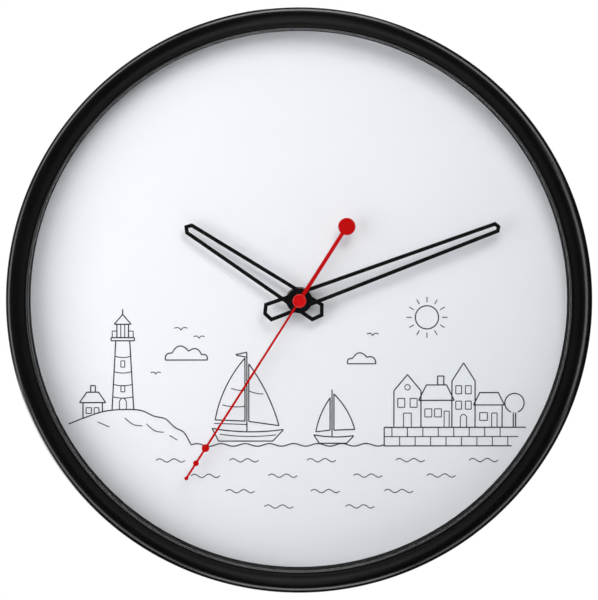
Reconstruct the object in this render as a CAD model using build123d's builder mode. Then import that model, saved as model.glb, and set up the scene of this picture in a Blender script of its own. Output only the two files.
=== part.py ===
from build123d import *

import math
import os

os.makedirs("parts", exist_ok=True)

# A round quartz wall clock. Sizes are in millimetres. The hands turn about the Y axis, the wall is the
# plane Y = 0, +Z is twelve o'clock, and the dial faces -Y. A height is a distance in front of the wall.

# Case ring and what it clamps
CASE_DIAMETER = 300.0
CASE_WALL = 3.0
RIM_WIDTH = 11.8
LIP_THICKNESS = 2.5
OUTER_ROUNDING_WIDTH = 7.0
OUTER_ROUNDING_DEPTH = 5.0
INNER_ROUNDING = 2.4
REAR_ROUNDING = 0.8
SEAT_WALL = 1.2
SEAT_CLEARANCE = 0.3
LENS_LAP = 2.4
LENS_THICKNESS = 2.0
LENS_CHAMFER = 0.4
LENS_CLEARANCE = 1.0
SPACER_SETBACK = 0.2
DIAL_THICKNESS = 0.8

# Back pan, its ribs, its hanger and its screws
PAN_THICKNESS = 2.5
PAN_CLEARANCE = 0.3
RIB_THICKNESS = 1.8
RIB_HEIGHT = 3.5
RIB_COUNT = 12
RIB_RING_INSET = 30.0
RIB_INNER_RADIUS = 48.0
FENCE_THICKNESS = 1.8
FENCE_HEIGHT = 4.0
FENCE_LEG = 12.0
FENCE_CLEARANCE = 0.4
HANGER_WIDTH = 34.0
HANGER_HEIGHT = 36.0
HANGER_CORNER = 5.0
HANGER_WALL = 2.2
HANGER_PLATE = 2.5
HANGER_GAP = 2.0
HANGER_INSET = 45.0
KEYHOLE_RADIUS = 4.5
KEYHOLE_SLOT_WIDTH = 4.4
KEYHOLE_RISE = 9.0
SCREW_COUNT = 6
SCREW_START = 30.0
SCREW_RADIUS = 1.3
SCREW_LENGTH = 10.0
SCREW_HEAD_RADIUS = 2.1
SCREW_HEAD_HEIGHT = 1.8
SCREW_HOLE_CLEARANCE = 0.3
CROSS_LENGTH = 2.7
CROSS_WIDTH = 0.7
CROSS_DEPTH = 0.9
POST_BLEND = 0.15
PILOT_EXTRA = 2.0

# Clearances shared by the fits
PRESS_FIT = 0.02
RUNNING_FIT = 0.06
PASSING_FIT = 0.15
WALL_GAP = 1.5

# Movement housing
MOVEMENT_WALL = 1.2
COVER_DEPTH = 3.5
PARTITION = 1.0
CUSHION_THICKNESS = 1.0
CUSHION_RADIUS = 12.0
POST_RADIUS = 1.6
POST_INSET = 2.5
FOURTH_POST_X = 11.3
PIVOT_DEPTH = 0.7
TONGUE_WIDTH = 7.0
TONGUE_THICKNESS = 1.1
TONGUE_REACH = 4.5
CATCH_WIDTH = 3.6
CATCH_DEPTH = 0.8
CATCH_HEIGHT = 1.6
CATCH_CLEARANCE = 0.25

# Shaft bushing, nut and washer
THREAD_RADIUS = 4.0
THREAD_PROUD = 0.6
THREAD_CHAMFER = 0.4
BUSHING_FLANGE_RADIUS = 6.0
BUSHING_FLANGE_THICKNESS = 1.1
WASHER_RADIUS = 6.8
WASHER_THICKNESS = 0.5
NUT_FLATS = 11.0
NUT_HEIGHT = 2.2
NUT_CHAMFER = 0.3

# Wheel train
GEAR_WIDTH = 0.9
LEVEL_GAP = 0.45
BRIDGE_THICKNESS = 1.0
ARBOR_RADIUS = 0.5
ARBOR_GAP = 0.7
HUB_RADIUS = 0.85
WHEEL_MARGIN = 1.2
BACKLASH = 0.06
PRESSURE_ANGLE = math.radians(20)
PINION_SHIFT = 0.4
PINION_ADDENDUM = 1.2
WHEEL_ADDENDUM = 0.6
ROOT_CLEARANCE = 0.25
TRAIN_MODULE = 0.25
ROTOR_TEETH = 10
INTERMEDIATE_TEETH = 50
INTERMEDIATE_PINION_TEETH = 10
SECONDS_TEETH = 60
SECONDS_PINION_TEETH = 10
THIRD_TEETH = 75
THIRD_PINION_TEETH = 10
CENTRE_TEETH = 80
CANNON_TEETH = 12
MINUTE_WHEEL_TEETH = 36
MINUTE_PINION_TEETH = 10
HOUR_TEETH = 40
INTERMEDIATE_ANGLE = 25.7
ROTOR_ANGLE = 42.8
THIRD_ANGLE = 110.5
MINUTE_WHEEL_ANGLE = 180.0
HOUR_TUBE_RADIUS = 2.55
MINUTE_TUBE_RADIUS = 1.75
STEM_RADIUS = 1.2
KNOB_RADIUS = 4.4
KNOB_HEIGHT = 2.7
KNOB_GAP = 0.3
KNOB_FLUTES = 18
KNOB_FLUTE_RADIUS = 0.45

# Step motor and circuit
MAGNET_RADIUS = 2.6
MAGNET_GAP = 0.25
STATOR_HOLE_CLEARANCE = 0.6
STATOR_RING_WIDTH = 2.2
STATOR_THICKNESS = 1.0
ARM_WIDTH = 2.2
ARM_GAP = 0.2
LEG_WIDTH = 4.0
PAD_RADIUS = 0.9
CORE_WIDTH = 2.0
CORE_THICKNESS = 1.0
COIL_LENGTH = 22.0
COIL_FLANGE_RADIUS = 3.4
COIL_FLANGE_THICKNESS = 1.0
COIL_RADIUS = 2.9
BOBBIN_WALL = 0.6
ROTOR_TO_COIL = 9.2
WINDOW_CLEARANCE = 0.3
STRIP_ROOM = 0.8
BOARD_WIDTH = 28.0
BOARD_HEIGHT = 12.0
BOARD_THICKNESS = 1.0
BOARD_STANDOFF = 1.0
BOARD_GAP = 3.0
BOARD_SIDE_GAP = 6.8
BOARD_TOP_GAP = 1.35
BOARD_POST_RADIUS = 1.3
BOARD_POST_INSET = 2.0
CHIP_RADIUS = 2.6
CHIP_HEIGHT = 1.1
CHIP_ROUNDING = 0.5
CRYSTAL_RADIUS = 1.0
CRYSTAL_LENGTH = 6.0
CRYSTAL_INSET = 2.0
COMPONENT_INSET = 7.0

# Battery and its contacts
BATTERY_DIAMETER = 14.5
BATTERY_LENGTH = 50.5
BATTERY_ROUNDING = 0.6
NUB_RADIUS = 2.75
NUB_LENGTH = 1.2
BAY_CLEARANCE = 0.3
CONTACT_ROOM = 1.55
CONTACT_THICKNESS = 0.4
CONTACT_GAP = 0.1
CONTACT_WIDTH = 8.0
CONTACT_HEIGHT = 7.0
STRIP_WIDTH = 2.4
TAB_LAP = 2.0
TAB_DROP = 3.25
FINGER_NOTCH = 18.0

# Hands: angles run clockwise from twelve o'clock, as they stand in the photograph
HOUR_ANGLE = 303.1
MINUTE_ANGLE = 69.6
SECOND_ANGLE = 212.5
HAND_GAP = 0.4
HAND_THICKNESS = 0.5
HAND_BAR = 1.95
HAND_HUB_RADIUS = 6.4
COLLET_WALL = 0.9
COLLET_SHOULDER = 0.6
HOUR_COLLET = 2.2
MINUTE_COLLET = 1.6
MINUTE_EDGE_GAP = 28.1
HOUR_SHORTER = 39.6
HOUR_TIP_POINT = 2.7
HOUR_TIP_HALF_WIDTH = 3.2
HOUR_TAIL_HALF_WIDTH = 5.5
HOUR_TAIL_LENGTH = 11.4
HOUR_TAIL_POINT = 3.5
MINUTE_TIP_POINT = 1.75
MINUTE_TIP_HALF_WIDTH = 2.9
MINUTE_TAIL_HALF_WIDTH = 5.05
MINUTE_TAIL_LENGTH = 17.4
MINUTE_TAIL_POINT = 2.5
SECOND_THICKNESS = 0.4
SECOND_EDGE_GAP = 29.1
SECOND_ARM_WIDTH = 1.15
SECOND_TAIL_WIDTH = 2.0
SECOND_TAIL_LENGTH = 45.2
SECOND_DISC_RADIUS = 4.45
BEAD_SPACING = 9.2
BEAD_RADII = (1.02, 1.5, 2.0)
SECOND_SOCKET = 1.2
SOCKET_WALL = 0.8
CAP_RADIUS = 3.5
CAP_HEIGHT = 1.3
CAP_RIM = 0.8
CAP_DISH = 0.35
CAP_ROUNDING = 0.3


# Helpers for drawing and for placing things
SECTION = Plane(origin=(0, 0, 0), x_dir=(1, 0, 0), z_dir=(0, 0, -1))


def face_plane(height):
    """The plane at this height that faces the room, with X to the right and Z up."""
    return Plane.XZ.offset(height)


def polar(distance, degrees, start=(0.0, 0.0)):
    """A place on the plan at this distance and angle from another place."""
    turn = math.radians(degrees)
    return (start[0] + distance * math.cos(turn), start[1] + distance * math.sin(turn))


def bearing(start, end):
    """The angle in radians of the line from one place on the plan to another."""
    return math.atan2(end[1] - start[1], end[0] - start[0])


def rod(place, radius, low, high, mode=Mode.ADD):
    """A round bar along the hands' direction, between two heights."""
    with BuildSketch(face_plane(low)) as outline:
        with Locations(place):
            Circle(radius)
    extrude(outline.sketch, amount=high - low, mode=mode)


def block(left, right, bottom, top, low, high, mode=Mode.ADD):
    """A rectangular block between two heights, given by its four sides on the plan."""
    with BuildSketch(face_plane(low)) as outline:
        with Locations(((left + right) / 2, (bottom + top) / 2)):
            Rectangle(right - left, top - bottom)
    extrude(outline.sketch, amount=high - low, mode=mode)


def tube(inner, outer, low, high):
    """A plain ring about the hands' axis, between two heights."""
    with BuildSketch(face_plane(low)) as outline:
        Circle(outer)
        Circle(inner, mode=Mode.SUBTRACT)
    extrude(outline.sketch, amount=high - low)


def tip_radius(teeth, module, addendum):
    return module * (teeth / 2 + addendum)


def gear_points(teeth, module, addendum, dedendum, shift, first_tooth):
    """Corner points of a spur gear with involute flanks, thinned for half of the backlash."""
    pitch_radius = module * teeth / 2
    base_radius = pitch_radius * math.cos(PRESSURE_ANGLE)
    root = pitch_radius - dedendum * module
    tip = pitch_radius + addendum * module
    thickness = module * (math.pi / 2 + 2 * shift * math.tan(PRESSURE_ANGLE)) - BACKLASH / 2
    pitch_half = thickness / (2 * pitch_radius) + math.tan(PRESSURE_ANGLE) - PRESSURE_ANGLE

    def half_angle(radius):
        slope = math.acos(min(1.0, base_radius / radius))
        return pitch_half - (math.tan(slope) - slope)

    start = max(root, base_radius)
    radii = [root, start, (start + tip) / 2, tip] if start > root else [root, (root + tip) / 2, tip]
    points = []
    for tooth in range(teeth):
        middle = first_tooth + 2 * math.pi * tooth / teeth
        flank = [(radius, half_angle(radius)) for radius in radii]
        for radius, half in flank:
            points.append((radius * math.cos(middle - half), radius * math.sin(middle - half)))
        for radius, half in reversed(flank):
            points.append((radius * math.cos(middle + half), radius * math.sin(middle + half)))
    return points


def gear(place, points, low, high):
    with BuildSketch(face_plane(low)) as outline:
        with Locations(place):
            Polygon(*points)
    extrude(outline.sketch, amount=high - low)


def pinion(place, mate, teeth, module, low, high):
    """A pinion with a tooth on the line to its mate."""
    dedendum = WHEEL_ADDENDUM + ROOT_CLEARANCE
    first_tooth = bearing(place, mate)
    points = gear_points(teeth, module, PINION_ADDENDUM, dedendum, PINION_SHIFT, first_tooth)
    gear(place, points, low, high)


def wheel(place, mate, teeth, module, low, high):
    """A wheel with a gap on the line to its mate."""
    dedendum = PINION_ADDENDUM + ROOT_CLEARANCE
    first_tooth = bearing(place, mate) + math.pi / teeth
    points = gear_points(teeth, module, WHEEL_ADDENDUM, dedendum, -PINION_SHIFT, first_tooth)
    gear(place, points, low, high)


def write(piece, name):
    """Names a finished piece and writes its file."""
    piece.part.label = name
    export_step(piece.part, f"parts/{name}.step")


# Places of the arbors on the plan, from the tooth counts
CENTRE = (0.0, 0.0)
intermediate_distance = TRAIN_MODULE * (INTERMEDIATE_PINION_TEETH + SECONDS_TEETH) / 2
intermediate_place = polar(intermediate_distance, INTERMEDIATE_ANGLE)
rotor_distance = TRAIN_MODULE * (ROTOR_TEETH + INTERMEDIATE_TEETH) / 2
rotor_place = polar(rotor_distance, ROTOR_ANGLE, intermediate_place)
third_distance = TRAIN_MODULE * (SECONDS_PINION_TEETH + THIRD_TEETH) / 2
third_place = polar(third_distance, THIRD_ANGLE)
centre_module = 2 * third_distance / (THIRD_PINION_TEETH + CENTRE_TEETH)
centre_tip = tip_radius(CENTRE_TEETH, centre_module, WHEEL_ADDENDUM)
motion_distance = centre_tip + STEM_RADIUS + ARBOR_GAP
minute_wheel_place = polar(motion_distance, MINUTE_WHEEL_ANGLE)
cannon_module = 2 * motion_distance / (CANNON_TEETH + MINUTE_WHEEL_TEETH)
hour_module = 2 * motion_distance / (MINUTE_PINION_TEETH + HOUR_TEETH)
hour_tip = tip_radius(HOUR_TEETH, hour_module, WHEEL_ADDENDUM)

# Plan of the movement's chamber and battery bay
coil_x = rotor_place[0] + ROTOR_TO_COIL
coil_half_width = coil_x + COIL_FLANGE_RADIUS + STRIP_ROOM
battery_half_width = BATTERY_LENGTH / 2 + CONTACT_ROOM
chamber_half = max(coil_half_width, battery_half_width)
housing_half = chamber_half + MOVEMENT_WALL
board_bottom = third_place[1] + ARBOR_RADIUS + BOARD_GAP
board_top = board_bottom + BOARD_HEIGHT
board_left = BOARD_SIDE_GAP - chamber_half
board_right = board_left + BOARD_WIDTH
chamber_top = board_top + BOARD_TOP_GAP
housing_top = chamber_top + MOVEMENT_WALL
chamber_bottom = -max(hour_tip, centre_tip) - WHEEL_MARGIN
bay_top = chamber_bottom - PARTITION
battery_radius = BATTERY_DIAMETER / 2
battery_z = bay_top - BAY_CLEARANCE - battery_radius
bay_bottom = battery_z - battery_radius - BAY_CLEARANCE
housing_bottom = bay_bottom - MOVEMENT_WALL
coil_bottom = chamber_bottom + POST_RADIUS + ARM_WIDTH
coil_top = coil_bottom + COIL_LENGTH
arm_low = coil_bottom - ARM_GAP - ARM_WIDTH
arm_high = coil_top + ARM_GAP + ARM_WIDTH
post_places = [
    (POST_INSET - chamber_half, chamber_top - POST_INSET),
    (chamber_half - POST_INSET, chamber_top - POST_INSET),
    (POST_INSET - chamber_half, chamber_bottom + POST_INSET),
    (FOURTH_POST_X, chamber_bottom + POST_INSET),
]

# Heights from the wall to the front, piece by piece
level_pitch = GEAR_WIDTH + LEVEL_GAP
housing_stack = 2 * (LEVEL_GAP + 3 * level_pitch) + BRIDGE_THICKNESS + BUSHING_FLANGE_THICKNESS
battery_overhang = BATTERY_DIAMETER + BAY_CLEARANCE - housing_stack - MOVEMENT_WALL
cover_rear = WALL_GAP + max(KNOB_HEIGHT + KNOB_GAP, battery_overhang)
cover_inner = cover_rear + MOVEMENT_WALL
split_height = cover_rear + COVER_DEPTH
seconds_level = cover_inner + LEVEL_GAP
intermediate_level = seconds_level + level_pitch
third_level = intermediate_level + level_pitch
bridge_rear = third_level + level_pitch
bridge_front = bridge_rear + BRIDGE_THICKNESS
centre_level = bridge_front + LEVEL_GAP
cannon_level = centre_level + level_pitch
hour_level = cannon_level + level_pitch
flange_rear = hour_level + level_pitch
case_inner = flange_rear + BUSHING_FLANGE_THICKNESS
case_front = case_inner + MOVEMENT_WALL
pan_rear = case_front + CUSHION_THICKNESS
pan_front = pan_rear + PAN_THICKNESS
dial_front = pan_front + DIAL_THICKNESS
washer_front = dial_front + WASHER_THICKNESS
nut_front = washer_front + NUT_HEIGHT
bushing_front = nut_front + THREAD_PROUD
hour_low = bushing_front + HAND_GAP + HOUR_COLLET
hour_high = hour_low + HAND_THICKNESS
minute_low = hour_high + HAND_GAP + MINUTE_COLLET
minute_high = minute_low + HAND_THICKNESS
second_low = minute_high + HAND_GAP + SECOND_SOCKET
second_high = second_low + SECOND_THICKNESS
cap_front = second_high + CAP_HEIGHT
lens_rear = cap_front + LENS_CLEARANCE
lens_front = lens_rear + LENS_THICKNESS
case_depth = lens_front + LIP_THICKNESS

# Radii of the case
case_radius = CASE_DIAMETER / 2
case_bore = case_radius - CASE_WALL
lip_radius = case_radius - RIM_WIDTH
lens_radius = lip_radius + LENS_LAP
seat_inner = lens_radius + SEAT_CLEARANCE
seat_outer = seat_inner + SEAT_WALL
pan_radius = case_bore - PAN_CLEARANCE
screw_circle = (seat_outer + case_bore) / 2
screw_post_radius = (case_bore - seat_outer) / 2 + POST_BLEND
hanger_z = case_radius - HANGER_INSET

# Radii of the coaxial shafts
thread_hole = THREAD_RADIUS + PASSING_FIT
bushing_bore = HOUR_TUBE_RADIUS + RUNNING_FIT
hour_bore = MINUTE_TUBE_RADIUS + RUNNING_FIT
minute_bore = ARBOR_RADIUS + RUNNING_FIT
pivot_bore = ARBOR_RADIUS + RUNNING_FIT
stem_bore = STEM_RADIUS + RUNNING_FIT


# Case ring: outer wall, rounded front, lip over the lens, seat wall and screw posts
with BuildPart() as rim:
    with BuildSketch(SECTION):
        with BuildLine():
            outer_centre = (case_radius - OUTER_ROUNDING_WIDTH, case_depth - OUTER_ROUNDING_DEPTH)
            inner_centre = (lip_radius + INNER_ROUNDING, case_depth - INNER_ROUNDING)
            rear_centre = (case_radius - REAR_ROUNDING, REAR_ROUNDING)
            Line((case_radius, rear_centre[1]), (case_radius, outer_centre[1]))
            EllipticalCenterArc(outer_centre, OUTER_ROUNDING_WIDTH, OUTER_ROUNDING_DEPTH, 0, arc_size=90)
            Line((outer_centre[0], case_depth), (inner_centre[0], case_depth))
            CenterArc(inner_centre, INNER_ROUNDING, 90, 90)
            Polyline(
                (lip_radius, inner_centre[1]),
                (lip_radius, lens_front),
                (seat_inner, lens_front),
                (seat_inner, pan_front),
                (seat_outer, pan_front),
                (seat_outer, lens_front),
                (case_bore, lens_front),
                (case_bore, 0),
                (rear_centre[0], 0),
            )
            CenterArc(rear_centre, REAR_ROUNDING, 270, 90)
        make_face()
    revolve(axis=Axis.Y)
    with BuildSketch(face_plane(pan_front)):
        with PolarLocations(screw_circle, SCREW_COUNT, SCREW_START):
            Circle(screw_post_radius)
    extrude(amount=lens_front - pan_front)
    with BuildSketch(face_plane(pan_front)):
        with PolarLocations(screw_circle, SCREW_COUNT, SCREW_START):
            Circle(SCREW_RADIUS + PRESS_FIT)
    extrude(amount=SCREW_LENGTH - PAN_THICKNESS + PILOT_EXTRA, mode=Mode.SUBTRACT)
write(rim, "rim")

# Flat clear lens behind the lip
with BuildPart() as lens:
    rod(CENTRE, lens_radius, lens_rear, lens_front)
    chamfer(lens.edges(), LENS_CHAMFER)
write(lens, "lens")

# Ring that keeps the lens off the dial
with BuildPart() as spacer_ring:
    tube(lip_radius + SPACER_SETBACK, lens_radius, dial_front, lens_rear)
write(spacer_ring, "spacer_ring")

# Printed dial sheet
with BuildPart() as dial:
    tube(thread_hole, lens_radius, pan_front, dial_front)
write(dial, "dial")

# Back pan: plate, ribs, fence round the movement and the hanger box with its keyhole
rib_ring = case_radius - RIB_RING_INSET
fence_side = housing_half + TONGUE_THICKNESS + FENCE_CLEARANCE
fence_top = housing_top + FENCE_CLEARANCE
fence_bottom = housing_bottom - FENCE_CLEARANCE
hanger_rear = HANGER_GAP
with BuildPart() as back_pan:
    rod(CENTRE, pan_radius, pan_rear, pan_front)
    tube(rib_ring - RIB_THICKNESS, rib_ring, pan_rear - RIB_HEIGHT, pan_rear)
    rib_length = rib_ring - RIB_INNER_RADIUS
    with BuildSketch(face_plane(pan_rear)):
        with PolarLocations(RIB_INNER_RADIUS + rib_length / 2, RIB_COUNT, 180 / RIB_COUNT):
            Rectangle(rib_length, RIB_THICKNESS)
    extrude(amount=-RIB_HEIGHT)
    with BuildSketch(face_plane(pan_rear)) as fence:
        with Locations((0, (fence_top + fence_bottom) / 2)):
            fence_width = 2 * fence_side
            fence_height = fence_top - fence_bottom
            Rectangle(fence_width + 2 * FENCE_THICKNESS, fence_height + 2 * FENCE_THICKNESS)
            Rectangle(fence_width, fence_height, mode=Mode.SUBTRACT)
            Rectangle(fence_width - 2 * FENCE_LEG, 2 * fence_height, mode=Mode.SUBTRACT)
            Rectangle(2 * fence_width, fence_height - 2 * FENCE_LEG, mode=Mode.SUBTRACT)
    extrude(amount=-FENCE_HEIGHT)
    with BuildSketch(face_plane(pan_rear)):
        with Locations((0, hanger_z)):
            RectangleRounded(HANGER_WIDTH, HANGER_HEIGHT, HANGER_CORNER)
    extrude(amount=hanger_rear - pan_rear)
    with BuildSketch(face_plane(pan_front)):
        with Locations((0, hanger_z)):
            pocket_width = HANGER_WIDTH - 2 * HANGER_WALL
            pocket_height = HANGER_HEIGHT - 2 * HANGER_WALL
            RectangleRounded(pocket_width, pocket_height, HANGER_CORNER - HANGER_WALL)
    extrude(amount=hanger_rear + HANGER_PLATE - pan_front, mode=Mode.SUBTRACT)
    with BuildSketch(face_plane(hanger_rear)):
        with Locations((0, hanger_z)):
            Circle(KEYHOLE_RADIUS)
        with Locations((0, hanger_z + KEYHOLE_RISE / 2)):
            SlotCenterToCenter(KEYHOLE_RISE, KEYHOLE_SLOT_WIDTH, rotation=90)
    extrude(amount=HANGER_PLATE, mode=Mode.SUBTRACT)
    rod(CENTRE, thread_hole, pan_rear, pan_front, Mode.SUBTRACT)
    with BuildSketch(face_plane(pan_rear)):
        with PolarLocations(screw_circle, SCREW_COUNT, SCREW_START):
            Circle(SCREW_RADIUS + SCREW_HOLE_CLEARANCE)
    extrude(amount=PAN_THICKNESS, mode=Mode.SUBTRACT)
write(back_pan, "back_pan")

# Self-tapping screws that hold the pan to the case ring, with cross recesses
screw_head_rear = pan_rear - SCREW_HEAD_HEIGHT
with BuildPart() as pan_screws:
    with BuildSketch(face_plane(screw_head_rear)):
        with PolarLocations(screw_circle, SCREW_COUNT, SCREW_START):
            Circle(SCREW_HEAD_RADIUS)
    extrude(amount=SCREW_HEAD_HEIGHT)
    with BuildSketch(face_plane(pan_rear)):
        with PolarLocations(screw_circle, SCREW_COUNT, SCREW_START):
            Circle(SCREW_RADIUS)
    extrude(amount=SCREW_LENGTH)
    with BuildSketch(face_plane(screw_head_rear)):
        with PolarLocations(screw_circle, SCREW_COUNT, SCREW_START):
            Rectangle(CROSS_LENGTH, CROSS_WIDTH)
            Rectangle(CROSS_WIDTH, CROSS_LENGTH)
    extrude(amount=CROSS_DEPTH, mode=Mode.SUBTRACT)
write(pan_screws, "pan_screws")

# Front half of the movement's housing, with bearing holes, posts, battery bay and catches
strip_middle = bridge_front + LEVEL_GAP + STRIP_WIDTH / 2
strip_low = strip_middle - STRIP_WIDTH / 2
strip_high = strip_middle + STRIP_WIDTH / 2
catch_low = split_height + TONGUE_REACH / 2 - CATCH_HEIGHT / 2
catch_high = catch_low + CATCH_HEIGHT
with BuildPart() as movement_case:
    block(-housing_half, housing_half, housing_bottom, housing_top, split_height, case_front)
    block(
        -chamber_half, chamber_half, chamber_bottom, chamber_top, split_height, case_inner, Mode.SUBTRACT
    )
    block(-chamber_half, chamber_half, bay_bottom, bay_top, split_height, case_inner, Mode.SUBTRACT)
    for place in post_places:
        rod(place, POST_RADIUS, bridge_front, case_inner)
    for side in (-1, 1):
        notch_edge = side * (chamber_half - CONTACT_THICKNESS - BAY_CLEARANCE)
        left, right = sorted((notch_edge, side * chamber_half))
        notch_low = strip_low - BAY_CLEARANCE
        notch_high = strip_high + BAY_CLEARANCE
        block(left, right, bay_top, chamber_bottom, notch_low, notch_high, Mode.SUBTRACT)
        left, right = sorted((side * housing_half, side * (housing_half + CATCH_DEPTH)))
        block(left, right, -CATCH_WIDTH / 2, CATCH_WIDTH / 2, catch_low, catch_high)
    rod(CENTRE, THREAD_RADIUS + PRESS_FIT, case_inner, case_front, Mode.SUBTRACT)
    for place in (third_place, minute_wheel_place):
        rod(place, pivot_bore, case_inner, case_inner + PIVOT_DEPTH, Mode.SUBTRACT)
write(movement_case, "movement_case")

# Rear half of the housing: bearing holes, posts, open battery bay and spring tongues
with BuildPart() as movement_cover:
    block(-housing_half, housing_half, housing_bottom, housing_top, cover_rear, split_height)
    block(
        -chamber_half, chamber_half, chamber_bottom, chamber_top, cover_inner, split_height, Mode.SUBTRACT
    )
    block(-chamber_half, chamber_half, bay_bottom, bay_top, cover_rear, split_height, Mode.SUBTRACT)
    half_notch = FINGER_NOTCH / 2
    block(-half_notch, half_notch, housing_bottom, bay_bottom, cover_rear, split_height, Mode.SUBTRACT)
    for place in post_places:
        rod(place, POST_RADIUS, cover_inner, bridge_rear)
    for side in (-1, 1):
        left, right = sorted((side * housing_half, side * (housing_half + TONGUE_THICKNESS)))
        half_tongue = TONGUE_WIDTH / 2
        half_window = CATCH_WIDTH / 2 + CATCH_CLEARANCE
        window_low = catch_low - CATCH_CLEARANCE
        window_high = catch_high + CATCH_CLEARANCE
        block(left, right, -half_tongue, half_tongue, cover_rear, split_height + TONGUE_REACH)
        block(left, right, -half_window, half_window, window_low, window_high, Mode.SUBTRACT)
    for place in (CENTRE, third_place, intermediate_place, rotor_place):
        rod(place, pivot_bore, cover_inner - PIVOT_DEPTH, cover_inner, Mode.SUBTRACT)
    rod(minute_wheel_place, stem_bore, cover_rear, cover_inner, Mode.SUBTRACT)
write(movement_cover, "movement_cover")

# Bridge plate between the two groups of wheels, with board posts, stator pads and a coil window
board_rear = bridge_front + BOARD_STANDOFF
board_front = board_rear + BOARD_THICKNESS
stator_rear = third_level
stator_front = stator_rear + STATOR_THICKNESS
stator_hole = MAGNET_RADIUS + STATOR_HOLE_CLEARANCE
stator_ring = stator_hole + STATOR_RING_WIDTH
leg_middle_x = coil_x - COIL_FLANGE_RADIUS - ARM_GAP - LEG_WIDTH / 2
board_posts = [
    (board_left + BOARD_POST_INSET, board_bottom + BOARD_POST_INSET),
    (board_right - BOARD_POST_INSET, board_bottom + BOARD_POST_INSET),
    ((board_left + board_right) / 2, board_top - BOARD_POST_INSET),
]
stator_pads = [
    polar(stator_hole + STATOR_RING_WIDTH / 2, 90, rotor_place),
    (leg_middle_x, arm_low + 2 * ARM_WIDTH),
]
bridge_edge = chamber_half - WINDOW_CLEARANCE
with BuildPart() as train_bridge:
    bridge_low = chamber_bottom + WINDOW_CLEARANCE
    bridge_high = chamber_top - WINDOW_CLEARANCE
    block(-bridge_edge, bridge_edge, bridge_low, bridge_high, bridge_rear, bridge_front)
    window_left = coil_x - COIL_FLANGE_RADIUS - WINDOW_CLEARANCE
    window_low = arm_low - WINDOW_CLEARANCE
    window_high = arm_high + WINDOW_CLEARANCE
    block(window_left, bridge_edge, window_low, window_high, bridge_rear, bridge_front, Mode.SUBTRACT)
    for place in board_posts:
        rod(place, BOARD_POST_RADIUS, bridge_front, board_rear)
    for place in stator_pads:
        rod(place, PAD_RADIUS, stator_front, bridge_rear)
    for place in (CENTRE, third_place, intermediate_place, rotor_place):
        rod(place, pivot_bore, bridge_rear, bridge_front, Mode.SUBTRACT)
    rod(minute_wheel_place, STEM_RADIUS + PASSING_FIT, bridge_rear, bridge_front, Mode.SUBTRACT)
write(train_bridge, "train_bridge")

# Threaded brass bushing that carries the hands' shafts through the pan and the dial
with BuildPart() as shaft_bushing:
    rod(CENTRE, BUSHING_FLANGE_RADIUS, flange_rear, case_inner)
    rod(CENTRE, THREAD_RADIUS, case_inner, bushing_front)
    chamfer(shaft_bushing.edges().sort_by(Axis.Y)[0], THREAD_CHAMFER)
    rod(CENTRE, bushing_bore, flange_rear, bushing_front, Mode.SUBTRACT)
write(shaft_bushing, "shaft_bushing")

# Rubber washer between the movement and the pan
with BuildPart() as cushion_washer:
    tube(thread_hole, CUSHION_RADIUS, case_front, pan_rear)
write(cushion_washer, "cushion_washer")

# Flat washer and hexagon nut that clamp the dial
with BuildPart() as dial_washer:
    tube(thread_hole, WASHER_RADIUS, dial_front, washer_front)
write(dial_washer, "dial_washer")

with BuildPart() as dial_nut:
    with BuildSketch(face_plane(washer_front)):
        RegularPolygon(NUT_FLATS / 2, 6, major_radius=False, rotation=30)
    extrude(amount=NUT_HEIGHT)
    chamfer(dial_nut.faces().sort_by(Axis.Y)[0].edges(), NUT_CHAMFER)
    rod(CENTRE, THREAD_RADIUS + PRESS_FIT, washer_front, nut_front, Mode.SUBTRACT)
write(dial_nut, "dial_nut")

# Circuit board, its moulded chip and its quartz crystal can
with BuildPart() as circuit_board:
    block(board_left, board_right, board_bottom, board_top, board_rear, board_front)
write(circuit_board, "circuit_board")

with BuildPart() as driver_chip:
    chip_place = (board_left + COMPONENT_INSET, board_bottom + CHIP_RADIUS + BAY_CLEARANCE)
    rod(chip_place, CHIP_RADIUS, board_front, board_front + CHIP_HEIGHT)
    fillet(driver_chip.edges().sort_by(Axis.Y)[0], CHIP_ROUNDING)
write(driver_chip, "driver_chip")

with BuildPart() as quartz_crystal:
    crystal_left = board_right - COMPONENT_INSET - CRYSTAL_LENGTH
    crystal_z = board_bottom + CRYSTAL_INSET
    crystal_height = board_front + CRYSTAL_RADIUS + PRESS_FIT
    with BuildSketch(Plane.YZ.offset(crystal_left)):
        with Locations((-crystal_height, crystal_z)):
            Circle(CRYSTAL_RADIUS)
    extrude(amount=CRYSTAL_LENGTH)
write(quartz_crystal, "quartz_crystal")

# Step motor: iron core in a moulded bobbin, copper winding and the stator plate round the rotor
core_rear = stator_front
core_front = core_rear + CORE_THICKNESS
core_left = coil_x - CORE_WIDTH / 2
core_right = coil_x + CORE_WIDTH / 2
coil_plane = Plane.XY.offset(coil_bottom)
coil_centre = (coil_x, -(core_rear + core_front) / 2)
core_hole = (CORE_WIDTH + 2 * PRESS_FIT, CORE_THICKNESS + 2 * PRESS_FIT)
barrel = (core_hole[0] + 2 * BOBBIN_WALL, core_hole[1] + 2 * BOBBIN_WALL)
with BuildPart() as coil_core:
    block(core_left, core_right, arm_low, arm_high, core_rear, core_front)
write(coil_core, "coil_core")

with BuildPart() as coil_bobbin:
    with BuildSketch(coil_plane):
        with Locations(coil_centre):
            Rectangle(*barrel)
    extrude(amount=COIL_LENGTH)
    for level in (0, COIL_LENGTH - COIL_FLANGE_THICKNESS):
        with BuildSketch(coil_plane.offset(level)):
            with Locations(coil_centre):
                Circle(COIL_FLANGE_RADIUS)
        extrude(amount=COIL_FLANGE_THICKNESS)
    with BuildSketch(coil_plane):
        with Locations(coil_centre):
            Rectangle(*core_hole)
    extrude(amount=COIL_LENGTH, mode=Mode.SUBTRACT)
write(coil_bobbin, "coil_bobbin")

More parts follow.
